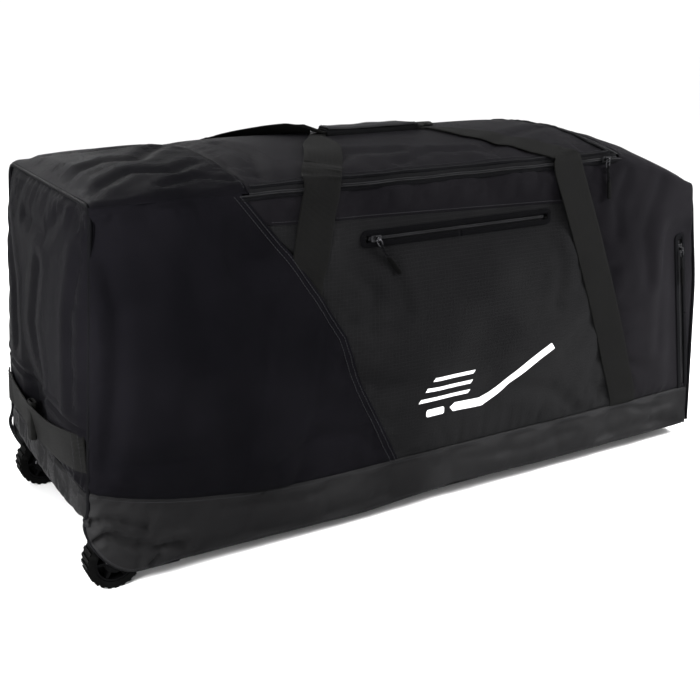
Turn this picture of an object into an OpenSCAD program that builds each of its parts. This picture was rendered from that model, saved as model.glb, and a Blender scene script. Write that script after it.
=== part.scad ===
// Wheeled hockey equipment bag, millimetres. Origin on the floor under the bag's centre,
// +X towards the plain end, wheels at -X, front with the pocket at -Y, +Z up.

/* [Bag body] */
// Length between the two end panels at the base
bag_length = 1016; // [980:4:1060]
// Half of the bag's width
half_width = 188; // [184:1:196]
// Height of the top front edge above the floor
edge_z = 483; // [478:1:490]
// Height of the underside of the base above the floor
base_z = 18; // [16:1:20]
// Rise of the top above its front and rear edges
crown_h = 26; // [20:1:27]
// How far the wheeled end leans in, from base to top
wheel_end_lean = 32; // [24:1:36]
// How far the plain end leans in, from base to top
plain_end_lean = 18; // [10:1:20]
// Thickness of the reinforced base fabric
base_t = 3; // [2:0.5:3]
// Thickness of an outer fabric layer
layer_t = 1.4; // [1:0.1:1.4]
// Height of the base band on the long sides
band_top = 84; // [82:1:88]
// Height of the base band's lower edge on the wheeled end
end_band_low = 88; // [86:1:92]
// Height of the base band's upper edge on the wheeled end
end_band_top = 134; // [128:1:140]
// Length over which the base slopes up to the wheeled end, above the wheels
ramp_length = 160; // [154:2:166]

/* [Top and lid] */
// Hinge line of the lid, from the bag's centre
lid_start = -281; // [-286:1:-276]
// Plain end of the lid, from the bag's centre
lid_end = 312; // [306:1:318]
// Height of the sloped shoulder's far edge above the floor
shoulder_z = 428; // [424:1:436]

/* [Pockets] */
// Depth of the front pocket between its panel and the lining
pocket_depth = 6.6; // [6:0.2:8]
// Height of the front pocket's zip above the floor
pocket_zip_z = 402; // [400:1:404]
// Near end of the front pocket's zip, from the bag's centre
pocket_zip_start = -112; // [-114:1:-110]
// Length of the front pocket's zip
pocket_zip_length = 290; // [280:1:292]
// Length of the compartment behind the plain end
end_pocket_length = 110; // [100:1:116]

/* [Straps and handles] */
// Width of the webbing
webbing_w = 50; // [46:1:52]
// Thickness of the webbing
webbing_t = 2.4; // [2:0.1:2.4]
// Half of the length of the grip wrap
grip_half = 78; // [74:1:82]
// How far the end handles stand out at the middle
handle_bow = 25; // [22:1:28]

/* [Wheels] */
// Radius of the tyre over its lugs
wheel_r = 35; // [34:0.5:36]
// Width of the tyre
wheel_w = 28; // [26:0.5:28]
// Distance of the axle from the wheeled end
axle_inset = 38; // [38:1:42]
// Radius of the steel axle
axle_r = 4; // [3.5:0.5:5]
// Number of lugs round the tyre
lug_count = 24; // [18:1:28]

/* [Hidden] */
fabric = [0.09, 0.09, 0.10];
coated = [0.14, 0.14, 0.15];
webbing = [0.13, 0.13, 0.13];
metal = [0.25, 0.25, 0.26];
steel = [0.55, 0.55, 0.56];
plastic = [0.07, 0.07, 0.07];
rubber = [0.05, 0.05, 0.05];
white = [0.92, 0.92, 0.92];
fine = 96;
gap = 0.3;
eps = 1;

// Places of the two ends, which lean in with height
wheel_lean = atan(wheel_end_lean / (edge_z - base_z));
plain_lean = atan(plain_end_lean / (edge_z - base_z));
wheel_foot = bag_length / 2 + base_z * tan(wheel_lean);
plain_foot = bag_length / 2 + base_z * tan(plain_lean);
function wheel_x(z) = -wheel_foot + z * tan(wheel_lean);
function plain_x(z) = plain_foot - z * tan(plain_lean);

// Top surface: crowned over the width, with a shoulder that drops towards the plain end
shoulder_end = plain_x(shoulder_z);
shoulder_slope = (edge_z - shoulder_z) / (shoulder_end - lid_end);
function edge_height(x) = edge_z - max(0, x - lid_end) * shoulder_slope;
function crown(x) = crown_h * (1 - pow(abs(x) / (bag_length / 2 + 10), 6));
function top_height(x, y) = edge_height(x) + crown(x) * (1 - pow(y / half_width, 2));

// Layers of the front, as distances outwards from its skin plane
lining_n = -pocket_depth - layer_t - 2;
strap_n = 0.2;
wing_n = strap_n + webbing_t + 0.2;

// Frames of the four faces: local x along the face, y up it, z outwards
module on_front() {
    translate([0, -half_width, 0]) rotate([90, 0, 0]) children();
}
module on_rear() {
    mirror([0, 1, 0]) on_front() children();
}
module on_wheel_end() {
    translate([-wheel_foot, 0, 0]) rotate([90 - wheel_lean, 0, -90]) children();
}
module on_plain_end() {
    translate([plain_foot, 0, 0]) rotate([90 - plain_lean, 0, 90]) children();
}
module layer(from, thickness) {
    translate([0, 0, from]) linear_extrude(thickness) children();
}
module on_both_sides() {
    children();
    mirror([0, 1, 0]) children();
}

// A closed skin over a grid: point_at(u, v) above, and the same points moved by drop below
module skin(columns, rows, point_at, drop) {
    upper = [for (i = [0:columns], j = [0:rows]) point_at(i / columns, j / rows)];
    lower = [for (p = upper) p + drop];
    sheet(columns, rows, upper, lower);
}
module sheet(columns, rows, upper, lower) {
    n = len(upper);
    function at(i, j) = i * (rows + 1) + j;
    cells = [for (i = [0:columns - 1], j = [0:rows - 1]) [i, j]];
    rim = concat(
        [for (i = [0:columns - 1]) [at(i, 0), at(i + 1, 0)]],
        [for (j = [0:rows - 1]) [at(columns, j), at(columns, j + 1)]],
        [for (i = [columns:-1:1]) [at(i, rows), at(i - 1, rows)]],
        [for (j = [rows:-1:1]) [at(0, j), at(0, j - 1)]]
    );
    faces = concat(
        [for (c = cells) [at(c.x, c.y), at(c.x, c.y + 1), at(c.x + 1, c.y + 1)]],
        [for (c = cells) [at(c.x, c.y), at(c.x + 1, c.y + 1), at(c.x + 1, c.y)]],
        [for (c = cells) [n + at(c.x, c.y), n + at(c.x + 1, c.y + 1), n + at(c.x, c.y + 1)]],
        [for (c = cells) [n + at(c.x, c.y), n + at(c.x + 1, c.y), n + at(c.x + 1, c.y + 1)]],
        [for (e = rim) [e[0], e[1], n + e[1]]],
        [for (e = rim) [e[0], n + e[1], n + e[0]]]
    );
    polyhedron(points = concat(upper, lower), faces = faces, convexity = 6);
}

// A ribbon through cross-sections, each [centre, half width vector, half thickness vector]
module ribbon(sections) {
    upper = [for (s = sections, k = [-1, 1]) s[0] + k * s[1] + s[2]];
    lower = [for (s = sections, k = [-1, 1]) s[0] + k * s[1] - s[2]];
    sheet(len(sections) - 1, 1, upper, lower);
}

// Outline of a long side: high is its top under the lid, and it follows the shoulder
end_inset = 3.5;
under_top = 3.6;
step_x = lid_end + 8;
module side_outline(low, high) {
    far = shoulder_end - end_inset;
    polygon([
        [wheel_x(low) + end_inset, low], [plain_x(low) - end_inset, low],
        if (high > shoulder_z) [far, edge_height(far) - under_top],
        if (high > shoulder_z) [step_x, edge_height(step_x) - under_top],
        if (high > shoulder_z) [step_x, high],
        if (high <= shoulder_z) [plain_x(high) - end_inset, high],
        [wheel_x(high) + end_inset, high]
    ]);
}
// Outline of an end; cut takes off its upper corners, where the piping bends round
module end_outline(low, high, cut = 0) {
    side = half_width - 4;
    top = cut > 0
        ? [[side, high - cut], [side - cut, high], [cut - side, high], [-side, high - cut]]
        : [[side, high], [-side, high]];
    polygon(concat([[-side, low], [side, low]], top));
}
module right_of(low, high, shift) {
    polygon([low + [shift, 0], [600, low.y], [600, high.y], high + [shift, 0]]);
}

// Webbing legs sewn to the long sides, as lines from the band up to the top
leg_low = band_top + 0.6;
leg_high = 465;
left_leg = [[-266, leg_low], [-186, leg_high]];
right_leg = [[355, leg_low], [219, leg_high]];
module strap_leg(ends) {
    side = [webbing_w / 2, 0];
    polygon([ends[0] - side, ends[0] + side, ends[1] + side, ends[1] - side]);
}

// ---- Base ----
board_t = 3;
board_z = base_z + base_t + gap;
axle_x = -bag_length / 2 + axle_inset;
axle_z = wheel_r;
bracket_out = half_width - base_t - 0.4;
bracket_w = wheel_w + 8;
bracket_in = bracket_out - bracket_w;
bracket_wall = 2;
flange_w = 20;
rivet_r = 2.5;
head_r = 4.6;
head_t = 1.4;

// The base is flat, then slopes up over the wheels to the wheeled end
ramp_x = -bag_length / 2 + 3 + ramp_length;
ramp_rise = 78;
ramp_angle = atan(ramp_rise / ramp_length);
function base_height(x) = base_z + max(0, ramp_x - x) * tan(ramp_angle);
module on_ramp() {
    translate([ramp_x, 0, base_z]) rotate([0, ramp_angle, 0]) children();
}
rivet_points = [for (s = [108, 150]) [-s, bracket_in - flange_w / 2]];
module rivet_holes() {
    on_both_sides() on_ramp() for (p = rivet_points)
        translate([p.x, -p.y, -10]) cylinder(r = rivet_r + 0.1, h = 30, $fn = fine);
}
module floor_layer(inset, from, thickness) {
    rise = from - base_z;
    near = -bag_length / 2 + inset + 5;
    far = bag_length / 2 - inset;
    difference() {
        rotate([90, 0, 0]) linear_extrude(2 * (half_width - inset), center = true) polygon([
            [near, base_height(near) + rise], [ramp_x, from], [far, from],
            [far, from + thickness], [ramp_x, from + thickness],
            [near, base_height(near) + rise + thickness]
        ]);
        rivet_holes();
    }
}
module bottom_panel() {
    color(coated) floor_layer(4, base_z, base_t);
}
module base_board() {
    color(plastic) floor_layer(13, board_z, board_t);
}
// The band's lower corner beside each wheel is cut away in a curve
corner_w = 60;
corner_h = 84;
corner_power = 1.4;
corner_curve = [for (a = [0:6:90]) [
    corner_w * (1 - pow(cos(a), corner_power)) - bag_length / 2,
    corner_h * (1 - pow(sin(a), corner_power)) + base_z
]];
module band_outline() {
    difference() {
        side_outline(base_z, band_top);
        polygon(concat([[-600, base_z + corner_h], [-600, 0], [corner_w - bag_length / 2, 0]],
            [for (k = [len(corner_curve) - 1:-1:0]) corner_curve[k]]));
    }
}
module front_band() {
    color(coated) on_front() layer(-base_t, base_t) band_outline();
}
module rear_band() {
    color(coated) on_rear() layer(-base_t, base_t) band_outline();
}
module wheel_end_band() {
    color(coated) on_wheel_end() layer(-base_t, base_t)
        end_outline(end_band_low, end_band_top);
}
module plain_end_band() {
    color(coated) on_plain_end() layer(-base_t, base_t) end_outline(base_z, band_top);
}

// ---- Walls ----
wall_low = band_top + 0.4;
wall_high = edge_z - 13;
corner_cut = 12;
end_zip = [[490, 92], [457, 334]];
module slot_along(ends, width, short) {
    step = (ends[1] - ends[0]) * short;
    side = [width / 2, 0];
    polygon([
        ends[0] + step - side, ends[0] + step + side, ends[1] - step + side,
        ends[1] - step - side
    ]);
}
module front_lining() {
    color(fabric) on_front() layer(lining_n, 2) difference() {
        side_outline(base_z + base_t + 1, wall_high);
        slot_along(end_zip, 8, 0.04);
        polygon([
            [-600, 0], [ramp_x, 0], [ramp_x, base_z + base_t + 1],
            [-600, base_height(-600) + base_t + 1]
        ]);
    }
}
module rear_wall() {
    color(fabric) on_rear() layer(-base_t, base_t) side_outline(wall_low, wall_high);
}
module wheel_end_panel() {
    color(fabric) on_wheel_end() layer(-base_t, base_t)
        end_outline(end_band_top + 0.4, edge_z - 7, corner_cut);
}
module plain_end_panel() {
    color(fabric) on_plain_end() layer(-base_t, base_t)
        end_outline(band_top + 0.4, shoulder_z - 7, corner_cut);
}
divider_x = bag_length / 2 - end_pocket_length - 12;
module end_pocket_divider() {
    bottom = board_z + board_t + 0.5;
    side = half_width + lining_n - 0.5;
    color(fabric) translate([divider_x, -side, bottom])
        cube([layer_t, side + half_width - base_t - 0.5, edge_height(divider_x) - 8 - bottom]);
}

// ---- Front layers ----
wing_seam = [[-66, wall_low], [-124, 200], [-150, 277], [-183, 330], [-227, 396], [-288, 474]];
module front_wing_panel() {
    color(fabric) on_front() layer(wing_n, layer_t) intersection() {
        side_outline(wall_low, edge_z - 5);
        polygon(concat(wing_seam, [[-288, 490], [-600, 490], [-600, wall_low]]));
    }
}
// The pocket panel runs under the wing's edge and to the middle of the right leg
pocket_top = [[-262, 435], [236, 418]];
module front_pocket_panel() {
    window = 7;
    hem = 4;
    color(fabric) on_front() {
        layer(-layer_t, layer_t) difference() {
            polygon([
                [-90, wall_low], right_leg[0], pocket_top[1], pocket_top[0], [-175, 277]
            ]);
            translate([pocket_zip_start - 6, pocket_zip_z - window])
                square([pocket_zip_length + 12, 2 * window]);
        }
        layer(lining_n + 2 + 0.2, pocket_depth - 0.2) {
            translate([-80, wall_low]) square([410, hem]);
            translate([-180, pocket_zip_z + window + 5]) square([410, hem]);
        }
    }
}
module front_upper_panel() {
    color(fabric) on_front() layer(-layer_t, layer_t) intersection() {
        side_outline(wall_low, wall_high);
        polygon([
            pocket_top[0] + [-20, 1], pocket_top[1] + [0, 0.4], right_leg[1] + [-2, 5],
            right_leg[1] + [-2, 30], [-310, 495]
        ]);
    }
}
module front_end_panel() {
    top = right_leg[1] + (right_leg[1] - right_leg[0]) * 0.1;
    color(fabric) on_front() layer(-layer_t, layer_t) difference() {
        intersection() {
            side_outline(wall_low, wall_high);
            right_of(right_leg[0] - [0, 2], top, 1);
        }
        slot_along(end_zip, 14, -0.02);
    }
}
// A stick, a puck and three speed lines
module front_print() {
    color(white) on_front() layer(0.05, 0.4) {
        polygon([[80, 158], [90, 150], [199, 205], [193, 214]]);
        polygon([[90, 150], [80, 158], [64, 153], [22, 154], [14, 148], [20, 141], [70, 140]]);
        translate([-26, 141]) square([30, 11]);
        for (k = [0:2])
            translate([-40 + 12 * k, 164 + 14 * k]) square([84 - 8 * k, 5]);
    }
}
module front_straps() {
    color(webbing) on_front() layer(strap_n, webbing_t) {
        strap_leg(left_leg);
        strap_leg(right_leg);
    }
}
module rear_straps() {
    color(webbing) on_rear() layer(strap_n, webbing_t) {
        strap_leg(left_leg);
        strap_leg(right_leg);
    }
}

// ---- Top ----
top_t = 3;
top_half = half_width - 1;
top_rows = 12;
function patch(from, to) = function (u, v)
    let (x = from + (to - from) * u, y = top_half * (2 * v - 1))
    [x, y, top_height(x, y)];
module top_panel() {
    color(fabric) skin(4, top_rows, patch(wheel_x(edge_z) + end_inset, lid_start - 2),
        [0, 0, -top_t]);
}
module shoulder_panel() {
    color(fabric) skin(6, top_rows, patch(lid_end + 8, shoulder_end - end_inset),
        [0, 0, -top_t]);
}
module lid_panel() {
    color(fabric) skin(12, top_rows, patch(lid_start + 2, lid_end - 8), [0, 0, -top_t]);
}
// Raised bound edge along the lid's long sides and its plain end
binding = 2.4;
module lid_binding() {
    length = lid_end - lid_start - 12;
    color(fabric) {
        on_both_sides() translate([lid_start + 3, top_half - 4, top_height(0, top_half - 4)])
            cube([length, 3, binding]);
        skin(1, top_rows, function (u, v)
            let (y = (top_half - 6) * (2 * v - 1))
            [lid_end - 12 + 3 * u, y, top_height(lid_end - 12, y) + 0.2 + binding],
            [0, 0, -binding]);
    }
}

// ---- Lid zip: one tape stays on the body, the other rides on the lid ----
zip_z = edge_z - 7;
coil_h = 2.3;
coil_t = 1.4;
tape_t = 1;
module lid_zip_tape() {
    length = lid_end - lid_start;
    color(webbing) on_both_sides() {
        translate([lid_start - 4, half_width - tape_t, wall_high + 0.2])
            cube([length + 4, tape_t, zip_z - 0.2 - wall_high - 0.2]);
        translate([lid_start + 2, half_width, zip_z - 0.2 - coil_h])
            cube([length - 4, coil_t, coil_h]);
    }
    color(webbing) skin(1, top_rows, function (u, v)
        let (y = (top_half - 1) * (2 * v - 1), x = lid_end + 1 + 6.5 * u)
        [x, y, top_height(x, y) - 1], [0, 0, -tape_t]);
}
module lid_zip_edge() {
    length = lid_end - lid_start - 10;
    color(webbing) on_both_sides() translate([lid_start + 4, half_width, zip_z + 0.2]) {
        translate([0, -tape_t, 0]) cube([length, tape_t, 3.8]);
        cube([length, coil_t, coil_h]);
    }
    color(webbing) skin(1, top_rows, function (u, v)
        let (y = (top_half - 1) * (2 * v - 1), x = lid_end - 7.5 + 6.5 * u)
        [x, y, top_height(x, y) - 1], [0, 0, -tape_t]);
}

// ---- Zip sliders and pulls. Local x runs along the zip, z outwards from the coil's top,
// and the bail faces the way its pull hangs ----
slider_l = 15;
slider_flange = coil_h + 0.4;
bail_z = 4.6;
pin_r = 1.1;
module slider(sides, tail) {
    plate = slider_flange + 1.3;
    for (side = sides)
        translate([-slider_l / 2, side > 0 ? slider_flange : -plate, -1])
            cube([slider_l, 1.3, 2.6]);
    translate([-slider_l / 2, -plate, gap]) cube([slider_l, 2 * plate, 1.3]);
    rotate([0, 0, tail]) difference() {
        translate([-2.6, -1.2, gap + 1]) cube([5.2, 2.4, bail_z + 1.2]);
        translate([0, -4, bail_z]) rotate([-90, 0, 0]) cylinder(r = pin_r, h = 8, $fn = fine);
    }
}
// A cord pull: pin through the bail, two cheeks, cord neck and moulded end, along -tail
pull_length = 58;
module pull() {
    translate([0, -2.4, bail_z]) rotate([-90, 0, 0])
        cylinder(r = pin_r - 0.05, h = 4.8, $fn = fine);
    for (side = [-1, 1]) translate([0, side * 2.1 - 0.5, bail_z]) {
        rotate([-90, 0, 0]) cylinder(r = 2.2, h = 1, $fn = fine);
        translate([0, 0, -1.1]) cube([11, 1, 2.2]);
    }
    translate([10, -2.6, bail_z - 1.1]) cube([3, 5.2, 2.2]);
    translate([13, -1.6, bail_z - 1.1]) cube([17, 3.2, 2.2]);
    translate([29, -3.4, bail_z - 1.2]) cube([pull_length - 29, 6.8, 3]);
}

// Front pocket zip
pocket_rest = [pocket_zip_start + 10, pocket_zip_z];
pocket_tail = -58;
module coil_line(length) {
    translate([0, -slider_flange + 0.4, -coil_t]) cube([length, 2 * slider_flange - 0.8, coil_t]);
    translate([-4, -11, -coil_t - tape_t - 0.3]) cube([length + 8, 22, tape_t]);
    translate([-4, -1, -coil_t - 0.4]) cube([length + 8, 2, 0.5]);
}
module at_pocket_slider() {
    on_front() translate([pocket_rest.x, pocket_rest.y, 0]) children();
}
module pocket_zip_tape() {
    color(webbing) on_front() translate([pocket_zip_start, pocket_zip_z, 0])
        coil_line(pocket_zip_length);
}
module pocket_zip_slider() {
    color(metal) at_pocket_slider() slider([-1, 1], pocket_tail);
}
module pocket_zip_pull() {
    color(rubber) at_pocket_slider() rotate([0, 0, pocket_tail]) pull();
}

// Vertical zip beside the plain end; its slider rests at the top
end_zip_run = end_zip[1] - end_zip[0];
end_zip_angle = atan2(end_zip_run.y, end_zip_run.x);
end_rest = end_zip[1] - end_zip_run * 0.05;
module end_zip_tape() {
    color(webbing) on_front() translate([end_zip[0].x, end_zip[0].y, 0])
        rotate([0, 0, end_zip_angle]) coil_line(norm(end_zip_run));
}
module at_end_slider() {
    on_front() translate([end_rest.x, end_rest.y, 0]) children();
}
module end_zip_slider() {
    color(metal) at_end_slider() rotate([0, 0, end_zip_angle]) slider([-1, 1], 180);
}
module end_zip_pull() {
    color(rubber) at_end_slider() rotate([0, 0, end_zip_angle + 180]) pull();
}

// Lid zip slider rests near the plain end; it has no flange on the lid's side
lid_rest_x = lid_end - 22;
module at_lid_slider() {
    translate([lid_rest_x, -half_width - coil_t, zip_z]) rotate([90, 0, 0]) children();
}
module lid_zip_slider() {
    color(metal) at_lid_slider() slider([-1], -90);
}
module lid_zip_pull() {
    color(rubber) at_lid_slider() rotate([0, 0, -90]) pull();
}

// ---- Carry handles: webbing over the lid, gathered into the grip wrap ----
grip_z = edge_z + crown_h + 1.6;
grip_wall = 2.2;
folded_w = 26;
folded_t = 4;
grip_hollow = 2 * folded_t + 1.2;
// Sections of one leg from the top of the sewn leg to the mouth of the wrap
over_edge = half_width + 3.8;
lay = 5.6;
leg_steps = 6;
mouth_gap = 20;
function leg_sections(edge_x, end_x, inner_y, inner_z) =
    let (
        run = [end_x - edge_x, half_width - inner_y],
        across = [run.y, -run.x] / norm(run) * webbing_w / 2
    )
    concat(
        [for (z = [leg_high + 1, edge_z + 3.4])
            [[edge_x, -over_edge, z], [webbing_w / 2, 0, 0], [0, -webbing_t / 2, 0]]],
        [for (k = [0:leg_steps])
            let (
                s = k / leg_steps,
                x = edge_x + run.x * s,
                y = -half_width + 2 + (run.y - 2) * s,
                ease = pow(s, 3),
                z = (top_height(x, y) + lay) * (1 - ease) + inner_z * ease,
                wide = 1 - 0.45 * ease
            )
            [[x, y, z], [across.x, across.y, 0] * wide, [0, 0, webbing_t / 2]]],
        [[[end_x - sign(end_x) * (mouth_gap - 1), 0, inner_z], [0, sign(end_x) * folded_w / 2, 0],
            [0, 0, folded_t / 2]]]
    );
function reversed(list) = [for (k = [len(list) - 1:-1:0]) list[k]];
function flipped(list) = [for (s = list) [s[0], -s[1], s[2]]];
module handle_loop(inner_z) {
    mouth = grip_half + mouth_gap;
    left = leg_sections(left_leg[1].x + 4, -mouth, 14, inner_z);
    right = leg_sections(right_leg[1].x - 4, mouth, 14, inner_z);
    ribbon(concat(left, flipped(reversed(right))));
}
front_grip_z = grip_z + grip_wall + 0.4 + folded_t / 2;
module front_handle_webbing() {
    color(webbing) handle_loop(front_grip_z);
}
module rear_handle_webbing() {
    color(webbing) mirror([0, 1, 0]) handle_loop(front_grip_z + folded_t + 0.4);
}
grip_half_y = folded_w / 2 + 0.6 + grip_wall;
module grip_wrap() {
    height = grip_hollow + 2 * grip_wall;
    color([0.2, 0.2, 0.21]) difference() {
        translate([-grip_half, -grip_half_y, grip_z]) cube([2 * grip_half, 2 * grip_half_y, height]);
        translate([-grip_half - eps, grip_wall - grip_half_y, grip_z + grip_wall])
            cube([2 * (grip_half + eps), 2 * (grip_half_y - grip_wall), grip_hollow]);
    }
}
flap_t = 1.6;
flap_z = grip_z + grip_hollow + 2 * grip_wall + gap;
module grip_flap() {
    color([0.2, 0.2, 0.21]) translate([-grip_half + 2, -grip_half_y, flap_z])
        cube([2 * grip_half - 4, 2 * grip_half_y, flap_t]);
}

// ---- Handles on the ends: webbing bowed outwards and drooping ----
grab_z = 187;
grab_half = half_width - 10;
grab_w = 48;
tow_z = 300;
tow_half = 112;
function bowed(half, bow, droop, width) = [for (k = [-8:8])
    let (s = k / 8, out = 1 - s * s)
    [[half * s, -droop * out, 1.6 + bow * out], [0, width / 2, 0],
        [0, 0, webbing_t / 2]]];
module grab_handle_webbing() {
    color(webbing) on_wheel_end() translate([0, grab_z, 0])
        ribbon(bowed(grab_half, handle_bow, 20, grab_w));
}
roll_w = 22;
module grab_handle_roll() {
    inner = webbing_t + 1;
    color(webbing) on_wheel_end() translate([0, grab_z - 20, 1.6 + handle_bow]) difference() {
        translate([-roll_w / 2, -grab_w / 2 - 2.4, -inner / 2 - 2])
            cube([roll_w, grab_w + 4.8, inner + 4]);
        translate([-roll_w / 2 - eps, -grab_w / 2 - 0.4, -inner / 2])
            cube([roll_w + 2 * eps, grab_w + 0.8, inner]);
    }
}
tow_w = 38;
module tow_handle_webbing() {
    color(webbing) on_plain_end() translate([0, tow_z, 0])
        ribbon(bowed(tow_half, handle_bow, 12, tow_w));
}
sleeve_half = 30;
module tow_handle_sleeve() {
    sag = handle_bow * pow(sleeve_half / tow_half, 2);
    color([0.2, 0.2, 0.21]) on_plain_end()
        translate([0, tow_z - 12 + 0.5, 1.6 + handle_bow - sag / 2]) difference() {
            translate([-sleeve_half, -tow_w / 2 - 3.4, -4.2])
                cube([2 * sleeve_half, tow_w + 6.8, 8.4]);
            translate([-sleeve_half - eps, -tow_w / 2 - 1.4, -2.2])
                cube([2 * (sleeve_half + eps), tow_w + 2.8, 4.4]);
        }
}

// ---- Piping ----
piping_r = 2.6;
piping_bend = 16;
// Along the curved corner of the band the piping stands clear of the wheel brackets
band_edge_y = bracket_out + piping_r + 0.3;
module piping_run(from, to) {
    run = to - from;
    translate(from) rotate([0, atan2(norm([run.x, run.y]), run.z), atan2(run.y, run.x)])
        cylinder(r = piping_r, h = norm(run), $fn = 32);
}
module piping_corner(angle) {
    rotate([0, 0, angle]) rotate_extrude(angle = 90, $fn = fine)
        translate([piping_bend, 0]) circle(r = piping_r, $fn = 32);
}
// Up one side, round the top and down the other, in an end's frame
module piping_arch(low, high) {
    side = half_width - 1;
    for (k = [-1, 1]) {
        piping_run([k * side, low, 0], [k * side, high - piping_bend, 0]);
        translate([k * (side - piping_bend), high - piping_bend, 0])
            piping_corner(k > 0 ? 0 : 90);
    }
    piping_run([-side + piping_bend, high, 0], [side - piping_bend, high, 0]);
}
module wheel_end_piping() {
    color(fabric) {
        on_wheel_end() piping_arch(base_z + corner_h + 3, edge_z - 4);
        on_both_sides() ribbon([for (k = [1:len(corner_curve) - 1])
            let (
                run = corner_curve[k] - corner_curve[k - 1],
                out = [-run.y, run.x] / norm(run),
                middle = (corner_curve[k] + corner_curve[k - 1]) / 2 - out * (piping_r + 0.4)
            )
            [[middle.x, -band_edge_y, middle.y], [0, piping_r, 0],
                [out.x, 0, out.y] * piping_r]]);
    }
}
module plain_end_piping() {
    color(fabric) on_plain_end() piping_arch(base_z + 4, shoulder_z - 4);
}

// ---- Wheels, made for the front side and mirrored ----
bearing_r = 11;
bearing_w = 7;
bearing_bore = axle_r + 0.05;
rim_r = 25.5;
tyre_out = bracket_out - bracket_wall - 1;
tyre_in = tyre_out - wheel_w;
module along_axle(y, length) {
    translate([axle_x, -y, axle_z]) rotate([-90, 0, 0]) linear_extrude(length) children();
}
// The bracket's plate lies under the sloped base; its two cheeks hold the axle
module wheel_housing() {
    plate = [-165, -95];
    boss_r = 12;
    arm = [axle_x - ramp_x, axle_z - base_z];
    axle_at = [
        arm.x * cos(ramp_angle) - arm.y * sin(ramp_angle),
        arm.x * sin(ramp_angle) + arm.y * cos(ramp_angle)
    ];
    color(plastic) on_ramp() {
        for (y = [bracket_out - bracket_wall, bracket_in])
            translate([0, -y, 0]) rotate([90, 0, 0]) linear_extrude(bracket_wall) difference() {
                union() {
                    polygon([
                        [plate[0], -gap - 1], axle_at - [boss_r, 0], axle_at + [boss_r, 0],
                        [plate[1], -gap - 1]
                    ]);
                    translate(axle_at) circle(r = boss_r, $fn = fine);
                }
                translate(axle_at) circle(r = axle_r + 0.1, $fn = fine);
            }
        difference() {
            translate([plate[0], -bracket_out, -gap - bracket_wall])
                cube([plate[1] - plate[0], bracket_w + flange_w, bracket_wall]);
            for (p = rivet_points) translate([p.x, -p.y, -10])
                cylinder(r = rivet_r + 0.1, h = 20, $fn = fine);
        }
    }
}
module axle() {
    color(steel) along_axle(bracket_out - 0.1, bracket_w + 7) circle(r = axle_r, $fn = fine);
}
module axle_nut() {
    color(steel) along_axle(bracket_in - 0.3, 5) difference() {
        circle(r = 7, $fn = 6);
        circle(r = axle_r + 0.02, $fn = fine);
    }
}
module tyre() {
    lug_h = 1.8;
    color(rubber) {
        along_axle(tyre_out, wheel_w) difference() {
            circle(r = wheel_r - lug_h, $fn = fine);
            circle(r = rim_r + 0.05, $fn = fine);
        }
        along_axle(tyre_out - 1, wheel_w - 2) difference() {
            for (k = [0:lug_count - 1]) rotate(k * 360 / lug_count)
                translate([wheel_r - lug_h - 2, -2.2]) square([lug_h + 2, 4.4]);
            circle(r = wheel_r - lug_h - 0.5, $fn = fine);
        }
    }
}
spoke_count = 6;
web_t = 3;
module rim() {
    color(plastic) {
        along_axle(tyre_out - 1, wheel_w - 2) difference() {
            circle(r = rim_r, $fn = fine);
            circle(r = rim_r - 3, $fn = fine);
        }
        along_axle(tyre_out - (wheel_w - web_t) / 2, web_t) difference() {
            circle(r = rim_r - 2.5, $fn = fine);
            circle(r = bearing_r + 2, $fn = fine);
        }
        along_axle(tyre_out - 2, wheel_w - 4) difference() {
            union() {
                circle(r = bearing_r + 3, $fn = fine);
                for (k = [0:spoke_count - 1]) rotate(k * 360 / spoke_count)
                    translate([bearing_r + 1, -1.8]) square([rim_r - bearing_r - 3, 3.6]);
            }
            circle(r = bearing_r + 0.05, $fn = fine);
        }
    }
}
module bearings() {
    color(steel) for (y = [tyre_out - 2.5, tyre_in + 2.5 + bearing_w])
        along_axle(y, bearing_w) difference() {
            circle(r = bearing_r, $fn = fine);
            circle(r = bearing_bore, $fn = fine);
        }
}
module housing_rivets() {
    under = -gap - bracket_wall - 0.2;
    over = (board_z + board_t - base_z) * cos(ramp_angle) + 0.2;
    color(steel) on_both_sides() on_ramp() for (p = rivet_points) translate([p.x, -p.y, 0]) {
        translate([0, 0, under]) cylinder(r = rivet_r, h = over - under, $fn = fine);
        translate([0, 0, under - head_t]) cylinder(r = head_r, h = head_t, $fn = fine);
        translate([0, 0, over]) cylinder(r = head_r, h = head_t, $fn = fine);
    }
}
module feet() {
    color(rubber) on_both_sides() translate([410, -150, 0]) difference() {
        cube([64, 30, base_z - 0.2]);
        for (x = [-1, 1]) translate([32 + x * 32, -eps, -2]) rotate([0, x * 30, 0])
            translate([-6, 0, -6]) cube([12, 30 + 2 * eps, 10]);
    }
}

bottom_panel();
base_board();
front_band();
rear_band();
wheel_end_band();
plain_end_band();
front_lining();
rear_wall();
wheel_end_panel();
plain_end_panel();
end_pocket_divider();
front_wing_panel();
front_pocket_panel();
front_upper_panel();
front_end_panel();
front_print();
top_panel();
shoulder_panel();
front_straps();
rear_straps();
wheel_end_piping();
plain_end_piping();
pocket_zip_tape();
pocket_zip_slider();
pocket_zip_pull();
end_zip_tape();
end_zip_slider();
end_zip_pull();
lid_zip_tape();
lid_zip_slider();
lid_zip_pull();
lid_panel();
lid_zip_edge();
lid_binding();
front_handle_webbing();
rear_handle_webbing();
grip_wrap();
grip_flap();
grab_handle_webbing();
grab_handle_roll();
tow_handle_webbing();
tow_handle_sleeve();
wheel_housing();  // front_wheel_housing
axle();  // front_axle
axle_nut();  // front_axle_nut
tyre();  // front_tyre
rim();  // front_rim
bearings();  // front_bearings
mirror([0, 1, 0]) wheel_housing();  // rear_wheel_housing
mirror([0, 1, 0]) axle();  // rear_axle
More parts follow.
